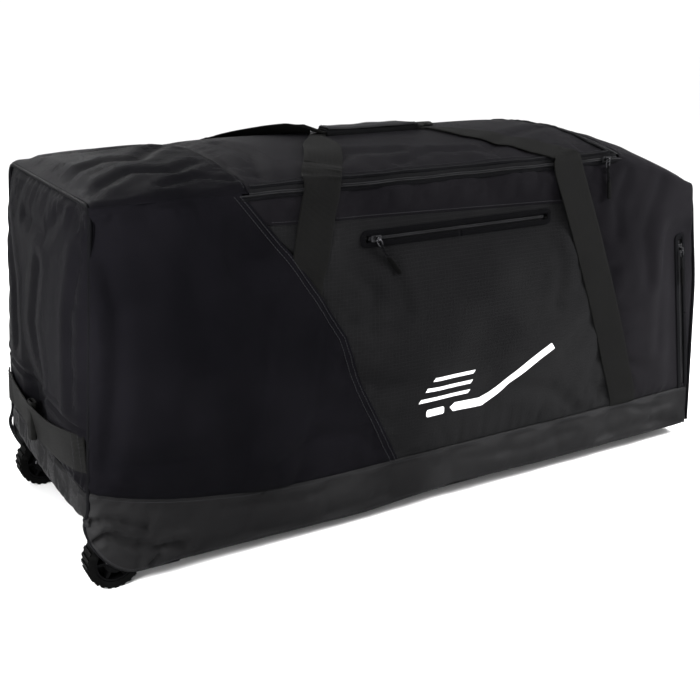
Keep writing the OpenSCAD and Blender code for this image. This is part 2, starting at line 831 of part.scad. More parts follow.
mirror([0, 1, 0]) axle_nut();  // rear_axle_nut
mirror([0, 1, 0]) tyre();  // rear_tyre
mirror([0, 1, 0]) rim();  // rear_rim
mirror([0, 1, 0]) bearings();  // rear_bearings
housing_rivets();
feet();
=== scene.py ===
import math

import bmesh
import bpy
import numpy as np
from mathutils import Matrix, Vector


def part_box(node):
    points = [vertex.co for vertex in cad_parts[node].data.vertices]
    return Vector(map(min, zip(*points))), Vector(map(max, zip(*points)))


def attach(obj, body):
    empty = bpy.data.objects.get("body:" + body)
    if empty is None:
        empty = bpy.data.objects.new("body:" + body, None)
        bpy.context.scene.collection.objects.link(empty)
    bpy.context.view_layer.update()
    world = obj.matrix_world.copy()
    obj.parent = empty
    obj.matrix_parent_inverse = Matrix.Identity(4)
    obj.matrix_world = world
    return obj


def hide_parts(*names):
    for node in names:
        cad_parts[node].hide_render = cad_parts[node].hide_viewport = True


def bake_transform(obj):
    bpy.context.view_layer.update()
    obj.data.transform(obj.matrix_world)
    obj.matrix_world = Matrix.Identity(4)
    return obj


scene = bpy.context.scene
scene.view_settings.view_transform = "Standard"

# ---- Camera: the photograph's place and angle ----
camera = bpy.data.objects.new("camera", bpy.data.cameras.new("camera"))
scene.collection.objects.link(camera)
camera.location = (-0.8137, -1.3466, 0.7107)
camera.rotation_euler = (math.radians(74.98), 0, math.radians(-30.14))
camera.data.lens = 55.1
camera.data.shift_y = -0.1
scene.camera = camera

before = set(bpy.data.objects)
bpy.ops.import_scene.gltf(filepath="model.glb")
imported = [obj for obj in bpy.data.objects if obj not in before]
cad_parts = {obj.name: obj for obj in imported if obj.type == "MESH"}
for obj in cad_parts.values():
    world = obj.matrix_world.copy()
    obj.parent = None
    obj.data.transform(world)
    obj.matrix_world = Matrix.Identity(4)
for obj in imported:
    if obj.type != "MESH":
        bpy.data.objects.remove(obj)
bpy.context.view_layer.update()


def low(node):
    return np.array(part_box(node)[0])


def high(node):
    return np.array(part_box(node)[1])


# ---- The bag's main places, in metres ----
HALF = -low("front_band")[1]
BASE = low("front_band")[2]
EDGE = 0.483
LONG, WIDE, END_WIDE = 0.508, 0.188, 0.187  # half sizes: at the base, across, and of an end's cloth
TOP_SEAM = 0.4785
LID_START, LID_END = -0.281, 0.312
WHEEL_LEAN, PLAIN_LEAN = 0.032 / 0.465, 0.018 / 0.465
SHOULDER_END, SHOULDER_Z = 0.4921, 0.428
BAND_TOP = 0.084
END_TOP = 0.134


def wheel_x(z):
    return -LONG + (z - BASE) * WHEEL_LEAN


def plain_x(z):
    return LONG - (z - BASE) * PLAIN_LEAN


def smooth(t):
    t = np.clip(t, 0, 1)
    return t * t * (3 - 2 * t)


def edge_height(x):
    return EDGE - np.maximum(0, x - LID_END) * (EDGE - SHOULDER_Z) / (SHOULDER_END - LID_END)


def crown(x):
    return 0.026 * (1 - np.clip(np.abs(x) / 0.518, 0, 1) ** 6)


def slumped(points):
    """The upper corner at the plain end settles inwards and down"""
    x, z = points[..., 0], points[..., 2]
    inward = 0.014 * smooth((z - 0.24) / 0.17) + 0.005 * smooth((z - 0.385) / 0.04)
    inward = inward * smooth((x - 0.466) / 0.03)
    down = 0.007 * smooth((z - 0.36) / 0.05) * smooth((x - 0.37) / 0.11)
    return points - np.stack([inward, 0 * inward, down], -1)


# Faces of the bag: (u, v, n) to the part's x, y and z, n outwards
def on_front(u, v, n):
    return slumped(np.stack([u, -HALF - n, v], -1))


def on_rear(u, v, n):
    return slumped(np.stack([u, HALF + n, v], -1))


WHEEL_COS, WHEEL_SIN = math.cos(math.atan(WHEEL_LEAN)), math.sin(math.atan(WHEEL_LEAN))
PLAIN_COS, PLAIN_SIN = math.cos(math.atan(PLAIN_LEAN)), math.sin(math.atan(PLAIN_LEAN))


def on_wheel_end(u, v, n):
    return np.stack([wheel_x(v) - n * WHEEL_COS, u, v + n * WHEEL_SIN], -1)


def on_plain_end(u, v, n):
    return slumped(np.stack([plain_x(v) + n * PLAIN_COS, u, v + n * PLAIN_SIN], -1))


def on_top(u, v, n):
    height = edge_height(u) + crown(u) * (1 - np.clip(np.abs(v) / HALF, 0, 1) ** 2)
    return slumped(np.stack([u, v, height + n], -1))


# ---- Meshes ----
def mesh_object(name, points, faces, material, uv=None):
    mesh = bpy.data.meshes.new(name)
    corners = [tuple(map(float, p)) for p in points]
    mesh.from_pydata(corners, [], [tuple(map(int, f)) for f in faces])
    mesh.materials.append(material)
    mesh.polygons.foreach_set("use_smooth", [True] * len(mesh.polygons))
    if uv is not None:
        layer = mesh.uv_layers.new(name="cloth")
        index = np.zeros(len(mesh.loops), int)
        mesh.loops.foreach_get("vertex_index", index)
        layer.data.foreach_set("uv", np.asarray(uv, float)[index].ravel())
    made = bpy.data.objects.new(name, mesh)
    scene.collection.objects.link(made)
    return made


def unit(v):
    return v / np.maximum(np.linalg.norm(v, axis=-1, keepdims=True), 1e-9)


def shell(name, grid, outward, thick, material, uv, drop=None):
    """A closed fabric layer: the grid is its outer face, and its edges are turned round"""
    m, n = grid.shape[:2]
    normal = unit(np.cross(np.gradient(grid, axis=0), np.gradient(grid, axis=1)))
    sign = 1 if (normal * outward).sum() > 0 else -1
    normal = normal * sign
    ring = (
        [(i, 0) for i in range(m)] + [(m - 1, j) for j in range(1, n)]
        + [(i, n - 1) for i in range(m - 2, -1, -1)] + [(0, j) for j in range(n - 2, 0, -1)]
    )
    ri, rj = np.array(ring).T
    edge, edge_normal = grid[ri, rj], normal[ri, rj]
    run = np.roll(edge, -1, 0) - np.roll(edge, 1, 0)
    out = unit(np.cross(run, edge_normal)) * sign
    middle = edge - edge_normal * thick / 2 + out * thick / 2
    points = np.concatenate([grid.reshape(-1, 3), (grid - normal * thick).reshape(-1, 3), middle])
    k = np.arange(m * n).reshape(m, n)
    quads = np.stack([k[:-1, :-1], k[1:, :-1], k[1:, 1:], k[:-1, 1:]], -1)
    if drop is not None:
        quads = quads[~drop]
    quads = quads.reshape(-1, 4)
    f = k[ri, rj]
    b = f + m * n
    r = 2 * m * n + np.arange(len(ring))
    f2, b2, r2 = np.roll(f, -1), np.roll(b, -1), np.roll(r, -1)
    rims = np.concatenate([np.stack([f2, f, r, r2], -1), np.stack([r2, r, b, b2], -1)])
    faces = np.concatenate([quads, quads[:, ::-1] + m * n, rims])
    if sign < 0:
        faces = faces[:, ::-1]
    flat_uv = np.concatenate([uv.reshape(-1, 2), uv.reshape(-1, 2), uv[ri, rj]])
    return mesh_object(name, points, faces, material, flat_uv)


def sweep(name, path, across, up, width, thick, material, shape=2.0, columns=8):
    """Webbing, tape or a tube: a rounded flat section carried along a path"""
    path, across, up = (np.asarray(a, float) for a in (path, across, up))
    n = len(path)
    width = np.broadcast_to(width, n)[:, None]
    thick = np.broadcast_to(thick, n)[:, None]
    angle = np.arange(4 * columns) / (4 * columns) * 2 * math.pi
    ca, sa = np.cos(angle), np.sin(angle)
    a = np.sign(ca) * np.abs(ca) ** (2 / shape)
    b = np.sign(sa) * np.abs(sa) ** (2 / shape)
    ring = len(angle)
    points = (
        path[:, None] + across[:, None] * (a * width / 2)[..., None]
        + up[:, None] * (b * thick / 2)[..., None]
    ).reshape(-1, 3)
    i = np.arange(n - 1)[:, None] * ring
    j = np.arange(ring)[None]
    j2 = (j + 1) % ring
    faces = np.stack([i + j, i + j2, i + ring + j2, i + ring + j], -1).reshape(-1, 4)
    length = np.concatenate([[0], np.cumsum(np.linalg.norm(np.diff(path, axis=0), axis=1))])
    uv = np.stack(np.broadcast_arrays(a * width / 2, length[:, None]), -1).reshape(-1, 2)
    faces = [tuple(f) for f in faces]
    faces += [tuple(range(ring))[::-1], tuple(range((n - 1) * ring, n * ring))]
    made = mesh_object(name, points, faces, material, uv)
    bm = bmesh.new()
    bm.from_mesh(made.data)
    bmesh.ops.recalc_face_normals(bm, faces=bm.faces)
    bm.to_mesh(made.data)
    bm.free()
    return made


def tube(name, path, radius, material):
    """A round cord or piping along a path"""
    path = np.asarray(path, float)
    run = unit(np.gradient(path, axis=0))
    side = np.zeros_like(run)
    guide = np.array([0, 0, 1.0]) if abs(run[0][2]) < 0.9 else np.array([0, 1.0, 0])
    for k, r in enumerate(run):
        guide = unit(guide - r * (guide @ r))
        side[k] = guide
    return sweep(name, path, side, np.cross(run, side), 2 * radius, 2 * radius, material, columns=2)


def along(points, step):
    """The same line with points every step"""
    points = np.asarray(points, float)
    length = np.concatenate([[0], np.cumsum(np.linalg.norm(np.diff(points, axis=0), axis=1))])
    count = max(2, int(round(length[-1] / step)) + 1)
    at = np.linspace(0, length[-1], count)
    return np.stack([np.interp(at, length, points[:, k]) for k in range(points.shape[1])], -1)


def rounded(points, step, passes):
    """A line eased round its corners, its two ends kept"""
    line = along(points, step)
    for _ in range(passes):
        line[1:-1] = (line[:-2] + 2 * line[1:-1] + line[2:]) / 4
    return line


def join(name, parts):
    """Several meshes as one piece"""
    bpy.ops.object.select_all(action="DESELECT")
    for p in parts:
        p.select_set(True)
    bpy.context.view_layer.objects.active = parts[0]
    bpy.ops.object.join()
    parts[0].name = name
    return parts[0]


# ---- Materials ----
class Shader:
    def __init__(self, name, **settings):
        self.material = bpy.data.materials.new(name)
        self.material.use_nodes = True
        self.nodes = self.material.node_tree.nodes
        self.links = self.material.node_tree.links
        self.bsdf = self.nodes["Principled BSDF"]
        for key, value in settings.items():
            self.bsdf.inputs[key.replace("_", " ")].default_value = value
        self.place = self.nodes.new("ShaderNodeTexCoord").outputs

    def node(self, kind, inputs=(), **settings):
        made = self.nodes.new("ShaderNode" + kind)
        for key, value in settings.items():
            setattr(made, key, value)
        for key, value in dict(inputs).items():
            if isinstance(value, bpy.types.NodeSocket):
                self.links.new(value, made.inputs[key])
            else:
                made.inputs[key].default_value = value
        return made.outputs

    def math(self, operation, a, b=0.0, c=0.0):
        return self.node("Math", {0: a, 1: b, 2: c}, operation=operation)[0]

    def noise(self, where, scale, detail=3.0, rough=0.55):
        return self.node("TexNoise", {"Vector": where, "Scale": scale, "Detail": detail,
            "Roughness": rough})["Fac"]

    def ramp(self, value, low_at, high_at, low_to=0.0, high_to=1.0):
        return self.node("MapRange", {"Value": value, "From Min": low_at, "From Max": high_at,
            "To Min": low_to, "To Max": high_to})["Result"]

    def mix(self, share, a, b):
        made = self.node("Mix", {}, data_type="RGBA")
        node = made[0].node
        for index, value in ((0, share), (6, a), (7, b)):
            if isinstance(value, bpy.types.NodeSocket):
                self.links.new(value, node.inputs[index])
            elif index:
                node.inputs[index].default_value = (*value, 1)
            else:
                node.inputs[index].default_value = value
        return node.outputs[2]

    def threads(self, where, pitch_u, pitch_v):
        """Over-and-under threads as a height from 0 to 1"""
        split = self.node("SeparateXYZ", {0: where})
        waves = []
        for axis, pitch in ((0, pitch_u), (1, pitch_v)):
            angle = self.math("MULTIPLY", split[axis], 2 * math.pi / pitch)
            waves.append(self.math("SINE", angle))
        both = self.math("MULTIPLY", waves[0], waves[1])
        return self.math("MULTIPLY_ADD", both, 0.5, 0.5)

    def grid_lines(self, where, pitch, share):
        """Raised thick threads of a ripstop, as 1 on the lines"""
        split = self.node("SeparateXYZ", {0: where})
        lines = []
        for axis in (0, 1):
            cell = self.math("FRACT", self.math("DIVIDE", split[axis], pitch))
            lines.append(self.math("LESS_THAN", cell, share))
        return self.math("MAXIMUM", lines[0], lines[1])

    def finish(self, colour, rough=None, height=None, distance=0.0005):
        self.links.new(colour, self.bsdf.inputs["Base Color"])
        if rough is not None:
            self.links.new(rough, self.bsdf.inputs["Roughness"])
        if height is not None:
            bump = self.node("Bump", {"Height": height, "Strength": 1.0, "Distance": distance})
            self.links.new(bump[0], self.bsdf.inputs["Normal"])
        return self.material


def cloth(name, dark, light, weave, rough, sheen, bump, grid=None, satin=0.3):
    """Woven fabric: threads, uneven dye, soft creasing and a dusty bloom"""
    s = Shader(name, Sheen_Weight=sheen, Sheen_Roughness=0.45, Specular_IOR_Level=0.01,
        Metallic=satin)
    s.bsdf.inputs["Sheen Tint"].default_value = (0.78, 0.78, 0.86, 1)
    s.bsdf.inputs["Specular Tint"].default_value = (0.06, 0.06, 0.065, 1)
    uv = s.place["UV"]
    body = s.place["Object"]
    threads = s.threads(uv, weave, weave * 0.8)
    tone = s.noise(body, 9.0, 5.0, 0.6)
    fleck = s.noise(uv, 900.0, 2.0)
    broad = s.noise(body, 3.6, 2.0, 0.5)
    share = s.math("ADD", s.ramp(tone, 0.36, 0.64, 0.0, 0.6), s.ramp(fleck, 0.35, 0.65, 0.0, 0.2))
    share = s.math("ADD", share, s.ramp(broad, 0.4, 0.62, -0.3, 0.55))
    share = s.math("MAXIMUM", share, 0.0)
    share = s.math("MULTIPLY", share, s.ramp(threads, 0.0, 1.0, 0.75, 1.0))
    height = s.math("MULTIPLY_ADD", s.noise(body, 160.0, 3.0), 1.4, threads)
    if grid:
        lines = s.grid_lines(uv, grid, 0.12)
        share = s.math("MULTIPLY_ADD", lines, 0.55, share)
        height = s.math("MULTIPLY_ADD", lines, 1.6, height)
    roughness = s.ramp(tone, 0.25, 0.75, rough - 0.06, rough + 0.08)
    return s.finish(s.mix(share, dark, light), roughness, height, bump)


def woven_strap(name, dark, light, rough=0.72):
    """Webbing: ribs across, warp columns along, and paler worn edges"""
    s = Shader(name, Sheen_Weight=0.01, Sheen_Roughness=0.5, Specular_IOR_Level=0.02)
    uv = s.place["UV"]
    split = s.node("SeparateXYZ", {0: uv})
    chevron = s.math("PINGPONG", split[0], 0.0031)
    slant = s.math("ADD", split[1], chevron)
    ribs = s.math("SINE", s.math("MULTIPLY", slant, 2 * math.pi / 0.0019))
    warp = s.math("SINE", s.math("MULTIPLY", split[0], 2 * math.pi / 0.0016))
    height = s.math("MULTIPLY_ADD", ribs, 0.6, warp)
    share = s.ramp(height, -1.2, 1.2, 0.1, 0.7)
    share = s.math("ADD", share, s.ramp(s.noise(s.place["Object"], 22.0, 5.0), 0.35, 0.7, 0, 0.35))
    rim = s.ramp(s.math("ABSOLUTE", split[0]), 0.0215, 0.0245, 0.0, 0.3)
    share = s.math("ADD", share, rim)
    return s.finish(s.mix(share, dark, light), s.ramp(height, -1, 1, rough + 0.08, rough - 0.08),
        height, 0.0003)


def solid(name, dark, light, rough, bump=0.00012, metal=0.0, shine=0.5):
    """Moulded plastic, rubber or metal with scuffs, a fine grain and painted highlights on its
    sharp edges
    """
    s = Shader(name, Metallic=metal, Specular_IOR_Level=shine)
    body = s.place["Object"]
    scuff = s.noise(body, 30.0, 6.0, 0.65)
    fine = s.noise(body, 1080.0, 3.0)
    # Painted highlight: pointed edges such as the tyre lugs are made paler, standing in for the
    # glints of light on them
    pointed = s.node("NewGeometry")["Pointiness"]
    painted_edge_highlight = s.ramp(pointed, 0.52, 0.62, 0.0, 0.6)
    share = s.math("ADD", s.ramp(scuff, 0.45, 0.75, 0.0, 0.5), painted_edge_highlight)
    return s.finish(s.mix(share, dark, light), s.ramp(scuff, 0.3, 0.7, rough - 0.07, rough + 0.1),
        fine, bump)


polyester = cloth("polyester", (0.0039, 0.0036, 0.0044), (0.0081, 0.0076, 0.0087), 0.0009, 0.5,
    0.012, 0.00022)
wing_cloth = cloth("wing_cloth", (0.0027, 0.0026, 0.0033), (0.0052, 0.0049, 0.0061), 0.0009, 0.46,
    0.008, 0.0002, satin=0.5)
ripstop = cloth("ripstop", (0.0054, 0.0054, 0.0057), (0.0108, 0.0108, 0.0111), 0.0007, 0.5, 0.01,
    0.00025, grid=0.0052)
coated = cloth("coated", (0.0083, 0.0082, 0.0085), (0.0166, 0.0165, 0.0169), 0.0011, 0.4, 0.012,
    0.0002, satin=0.5)
lining_cloth = cloth("lining_cloth", (0.0198, 0.0198, 0.0218), (0.033, 0.033, 0.0363), 0.0007, 0.6,
    0.02, 0.0002)
tape_cloth = cloth("tape_cloth", (0.0042, 0.0042, 0.0045), (0.009, 0.009, 0.0095), 0.0012, 0.6,
    0.01, 0.0003)
webbing = woven_strap("webbing", (0.0015, 0.0015, 0.0015), (0.0038, 0.0038, 0.0036))
# Paler cloth: on the grip flap it is painted light, standing for the light on the grip's top; the
# tow sleeve uses it too
grip_cloth = cloth("grip_cloth", (0.0106, 0.0106, 0.0111), (0.0222, 0.0222, 0.0232), 0.0014, 0.75,
    0.04, 0.0004, satin=0.0)
piping_cloth = cloth("piping_cloth", (0.0022, 0.0022, 0.0025), (0.005, 0.005, 0.0056), 0.001, 0.4,
    0.01, 0.0002, satin=0.5)
thread = solid("thread", (0.014, 0.014, 0.0155), (0.028, 0.028, 0.031), 0.6, shine=0.05)
plastic = solid("plastic", (0.0009, 0.0009, 0.001), (0.0028, 0.0028, 0.003), 0.42, shine=0.015)
rubber = solid("rubber", (0.0008, 0.0008, 0.0008), (0.0036, 0.0036, 0.0036), 0.6, shine=0.015)
gunmetal = solid("gunmetal", (0.012, 0.012, 0.013), (0.07, 0.07, 0.075), 0.28, metal=0.95)
steel = solid("steel", (0.32, 0.32, 0.34), (0.55, 0.55, 0.57), 0.3, metal=1.0)
coil_plastic = solid("coil_plastic", (0.012, 0.012, 0.013), (0.034, 0.034, 0.037), 0.4, shine=0.06)
board_plastic = solid("board_plastic", (0.03, 0.03, 0.032), (0.05, 0.05, 0.054), 0.5)
# Painted shade: near-black cloth for the grip wrap, so that its front and underside read as the
# shadow below the grip
wrap_cloth_painted_shade = cloth("wrap_cloth_painted_shade", (0.0018, 0.0018, 0.002), (0.0042, 0.0042, 0.0045), 0.0014, 0.7,
    0.01, 0.0004, satin=0.0)
ink = solid("ink", (0.74, 0.74, 0.74), (0.86, 0.86, 0.86), 0.5, bump=0.00004)


# ---- Fabric under load: sheets held along their seams and blown out by what is inside ----
class Field:
    def __init__(self, u, v, values):
        self.u, self.v, self.values = u, v, values

    def __call__(self, u, v):
        u, v = np.broadcast_arrays(np.asarray(u, float), np.asarray(v, float))
        fu = np.clip((u - self.u[0]) / (self.u[1] - self.u[0]), 0, len(self.u) - 1.001)
        fv = np.clip((v - self.v[0]) / (self.v[1] - self.v[0]), 0, len(self.v) - 1.001)
        i, j = fu.astype(int), fv.astype(int)
        a, b = smooth(fu - i), smooth(fv - j)
        q = self.values
        return (
            q[i, j] * (1 - a) * (1 - b) + q[i + 1, j] * a * (1 - b)
            + q[i, j + 1] * (1 - a) * b + q[i + 1, j + 1] * a * b
        )


def distance_to(line, u, v):
    """Distance from points to a line of straight runs"""
    best = np.full(np.shape(u), 9.0)
    for (ax, ay), (bx, by) in zip(line[:-1], line[1:]):
        dx, dy = bx - ax, by - ay
        t = np.clip(((u - ax) * dx + (v - ay) * dy) / (dx * dx + dy * dy), 0, 1)
        best = np.minimum(best, np.hypot(u - ax - t * dx, v - ay - t * dy))
    return best


CELL = 0.008
sheets = []


def hang(name, span_u, span_v, seams, growth, pressure, cap):
    """Sets up a sheet pinned at its border and along its seams"""
    u = np.linspace(*span_u, int(round((span_u[1] - span_u[0]) / CELL)) + 1)
    v = np.linspace(*span_v, int(round((span_v[1] - span_v[0]) / CELL)) + 1)
    uu, vv = np.meshgrid(u, v, indexing="ij")
    held = np.zeros(uu.shape, bool)
    held[0] = held[-1] = True
    held[:, 0] = held[:, -1] = True
    for seam in seams:
        held |= distance_to(seam, uu, vv) < CELL * 0.55
    start = 0.0006 * np.sin(uu * 61 + 2 * np.sin(vv * 47)) * np.sin(vv * 53 + 1.3)
    start = np.where(held, 0, start)
    k = np.arange(uu.size).reshape(uu.shape)
    faces = np.stack([k[:-1, :-1], k[1:, :-1], k[1:, 1:], k[:-1, 1:]], -1).reshape(-1, 4)
    points = np.stack([uu, vv, start], -1).reshape(-1, 3)
    made = mesh_object("sim_" + name, points, faces, polyester)
    pins = made.vertex_groups.new(name="pins")
    pins.add([int(i) for i in k[held]], 1.0, "REPLACE")
    modifier = made.modifiers.new("cloth", "CLOTH")
    c = modifier.settings
    c.quality = 4
    c.mass = 0.2
    c.tension_stiffness = c.compression_stiffness = 18
    c.shear_stiffness = 6
    c.bending_stiffness = 0.25
    c.use_pressure = True
    c.uniform_pressure_force = pressure
    c.shrink_min = -growth
    c.vertex_group_mass = "pins"
    c.effector_weights.gravity = 0
    modifier.point_cache.frame_start = 1
    modifier.point_cache.frame_end = 20
    sheets.append((name, made, u, v, held, cap))


def blow_out():
    """Runs every sheet together and keeps how far each point stands out"""
    fields = {}
    for f in range(1, 21):
        scene.frame_set(f)
    graph = bpy.context.evaluated_depsgraph_get()
    for name, made, u, v, held, cap in sheets:
        mesh = made.evaluated_get(graph).to_mesh()
        co = np.zeros(len(mesh.vertices) * 3)
        mesh.vertices.foreach_get("co", co)
        out = co.reshape(len(u), len(v), 3)[..., 2]
        out = cap * np.tanh(out / cap)
        fields[name] = Field(u, v, out)
    scene.frame_set(1)
    for _, made, *_ in sheets:
        bpy.data.objects.remove(made)
    return fields


# ---- Seam lines of the long sides, as (x, z) ----
WING_SEAM = [(-0.066, 0.0844), (-0.124, 0.2), (-0.15, 0.277), (-0.183, 0.33), (-0.227, 0.396),
    (-0.288, 0.474)]
LEFT_LEG = [(-0.266, 0.0846), (-0.186, 0.465)]
RIGHT_LEG = [(0.355, 0.0846), (0.219, 0.465)]
POCKET_TOP = [(-0.262, 0.435), (0.236, 0.418)]
END_ZIP = [(0.490, 0.092), (0.457, 0.334)]
POCKET_ZIP = [(-0.112, 0.402), (0.178, 0.402)]
WALL_TOP = 0.4705


def x_on(line, z):
    xs, zs = zip(*line)
    slope = (xs[-1] - xs[-2]) / (zs[-1] - zs[-2])
    return np.where(z > zs[-1], xs[-1] + (z - zs[-1]) * slope, np.interp(z, zs, xs))


def z_on(line, x):
    (ax, az), (bx, bz) = line
    return az + (x - ax) * (bz - az) / (bx - ax)


def band_seam(x):
    """The band's upper seam climbs towards the wheels"""
    return 0.0835 + 0.0535 * np.clip((-0.119 - x) / 0.377, 0, 1.04) ** 2.6


def band_edge(x):
    """The band's lower edge sags a little, and curves up beside the wheel"""
    sag = np.interp(x, (-0.5, -0.3, -0.119, 0.035, 0.2, 0.42, 0.51),
        (0.021, 0.0185, 0.0148, 0.0228, 0.0185, 0.019, 0.019))
    t = np.clip((-0.446 - x) / 0.0615, 0, 1)
    return sag + 0.083 * (1 - (1 - t ** 1.7) ** (1 / 1.7))


SEAM_XS = np.linspace(-LONG, LONG, 24)
band_line = [(x, float(band_seam(x))) for x in SEAM_XS]
straight_band_line = [(-LONG, BAND_TOP), (LONG, BAND_TOP)]
long_span = ((-LONG, LONG), (BASE, 0.476))
END_SPAN = (0.08, 0.484)
hang("front", *long_span, [band_line, WING_SEAM, POCKET_TOP, RIGHT_LEG], 0.012, 2.2, 0.008)
hang("rear", *long_span, [straight_band_line, LEFT_LEG, RIGHT_LEG], 0.012, 2.2, 0.009)
for name, span, seam in (
        ("wheel_end", END_SPAN, END_TOP), ("plain_end", (BASE, SHOULDER_Z), BAND_TOP)):
    hang(name, (-WIDE, WIDE), span, [[(-WIDE, seam), (WIDE, seam)]], 0.012, 2.4, 0.009)
hang("top", (-0.48, 0.492), (-WIDE, WIDE), [[(x, -WIDE), (x, WIDE)] for x in (LID_START, LID_END)],
    0.01, 1.2, 0.008)
fields = blow_out()


def fullness(u, v, half_u, low_v, high_v, depth):
    """The even bulge of a face under load"""
    across = 1 - np.clip(np.abs(u) / half_u, 0, 1) ** 4
    t = np.clip((v - low_v) / (high_v - low_v), 0, 1)
    return depth * across * np.sin(math.pi * t) ** 0.8


def crease(line, u, v, width, depth):
    """A fold: a narrow valley between two soft lips"""
    d = distance_to(line, u, v)
    return depth * (0.55 * np.exp(-((d / width - 2.2) ** 2) / 1.6) - np.exp(-((d / width) ** 2)))


def folded(n, folds, u, v, share=1.0):
    """Adds every fold of a list: (line, width, depth)"""
    for line, width, depth in folds:
        n = n + crease(line, u, v, width, depth) * share
    return n


BAND_FOLDS = [
    ([(-0.503, 0.1), (-0.485, 0.103), (-0.465, 0.099), (-0.45, 0.086), (-0.432, 0.081)], 0.004,
        0.0055),
    ([(-0.497, 0.075), (-0.486, 0.082), (-0.472, 0.081), (-0.458, 0.069), (-0.438, 0.056),
        (-0.414, 0.046), (-0.385, 0.042)], 0.0045, 0.0075),
    ([(-0.41, 0.05), (-0.42, 0.038), (-0.427, 0.028)], 0.0042, 0.004),
    ([(-0.36, 0.034), (-0.2, 0.028), (-0.08, 0.034)], 0.006, 0.0018),
    ([(0.05, 0.06), (0.16, 0.05), (0.26, 0.058)], 0.006, 0.0016),
    ([(-0.33, 0.078), (-0.24, 0.064), (-0.15, 0.066)], 0.0055, 0.0018),
    ([(0.3, 0.035), (0.38, 0.042), (0.47, 0.034)], 0.006, 0.0016),
    ([(0.38, 0.07), (0.43, 0.06), (0.47, 0.066)], 0.0045, 0.0014),
]
WALL_FOLDS = [
    ([(-0.475, 0.45), (-0.455, 0.36), (-0.462, 0.26), (-0.48, 0.17)], 0.012, 0.004),
    ([(-0.49, 0.19), (-0.44, 0.165), (-0.37, 0.16)], 0.01, 0.0026),
    ([(-0.41, 0.472), (-0.37, 0.4), (-0.35, 0.3), (-0.36, 0.22)], 0.015, 0.0032),
    ([(-0.3, 0.42), (-0.28, 0.34), (-0.27, 0.24)], 0.013, 0.002),
    ([(-0.26, 0.12), (-0.2, 0.15), (-0.13, 0.14)], 0.01, 0.0022),
    ([(-0.13, 0.37), (-0.11, 0.33), (-0.115, 0.28)], 0.008, 0.002),
    ([(-0.07, 0.385), (-0.075, 0.35), (-0.06, 0.3)], 0.008, 0.0018),
    ([(-0.16, 0.24), (-0.1, 0.2), (-0.03, 0.19)], 0.012, 0.0022),
    ([(0.25, 0.1), (0.2, 0.14), (0.12, 0.16)], 0.011, 0.002),
    ([(0.31, 0.3), (0.28, 0.24), (0.22, 0.2)], 0.011, 0.002),
    ([(0.19, 0.37), (0.21, 0.33), (0.2, 0.27)], 0.009, 0.0018),
    ([(0.4, 0.44), (0.37, 0.36), (0.385, 0.28)], 0.011, 0.0024),
    ([(0.43, 0.36), (0.415, 0.26), (0.42, 0.17)], 0.01, 0.0022),
    ([(0.33, 0.45), (0.31, 0.41), (0.315, 0.36)], 0.008, 0.0018),
]


LID_PULL_PARK = [(-0.27, 0.476), (-0.27, 0.41)]


def settled(line, u, v):
    """A zip holds the cloth round it flat"""
    return smooth((distance_to(line, u, v) - 0.014) / 0.045)


def front_out(u, v):
    n = fullness(u, v, LONG, BASE, 0.478, 0.006) + fields["front"](u, v)
    loose = np.exp(-(((u + 0.38) / 0.1) ** 2) - ((v - 0.24 - (u + 0.38) * 1.2) / 0.13) ** 2)
    n = n + 0.009 * loose
    n = folded(n, BAND_FOLDS + WALL_FOLDS, u, v, smooth((u + 0.507) / 0.012))
    for line in (POCKET_ZIP, END_ZIP, LID_PULL_PARK):
        n = n * settled(line, u, v)
    return n


def rear_out(u, v):
    n = fullness(u, v, LONG, BASE, 0.478, 0.008) + fields["rear"](u, v)
    return folded(n, WALL_FOLDS, u, v)


END_FOLDS = [
    ([(-0.165, 0.42), (-0.145, 0.34), (-0.15, 0.24)], 0.01, 0.003),
    ([(0.15, 0.4), (0.1, 0.33), (0.09, 0.25)], 0.012, 0.003),
    ([(-0.1, 0.46), (-0.04, 0.42), (0.06, 0.43)], 0.01, 0.0024),
    ([(-0.02, 0.38), (0.0, 0.3), (-0.03, 0.24)], 0.012, 0.0026),
]
PLEATS = (-0.172, -0.158, -0.147, -0.135, -0.118, -0.1, 0.12, 0.15, 0.168)
TUCKS = [([(-0.184, 0.213), (0.184, 0.215)], 0.0034, 0.0034)]
TUCKS += [([(y, 0.14), (y + 0.002, 0.17)], 0.0024, 0.0022) for y in PLEATS]
PRESSED = 0.8


def flattened(u, v, middle, spread, half, ease):
    """What is left of the bulge behind an end's handle"""
    pressed = np.exp(-(((v - middle) / spread) ** 2)) * smooth((half - np.abs(u)) / ease)
    return 1 - PRESSED * pressed


def wheel_end_out(u, v):
    n = fullness(u, v, WIDE, *END_SPAN, 0.007) + fields["wheel_end"](u, v)
    n = folded(n, END_FOLDS + TUCKS, u, v)
    return n * flattened(u, v, 0.19, 0.045, 0.06, 0.04)


def plain_end_out(u, v):
    n = fullness(u, v, WIDE, BASE, SHOULDER_Z, 0.008) + fields["plain_end"](u, v)
    return folded(n, END_FOLDS, u, v) * flattened(u, v, 0.3, 0.06, 0.16, 0.05)


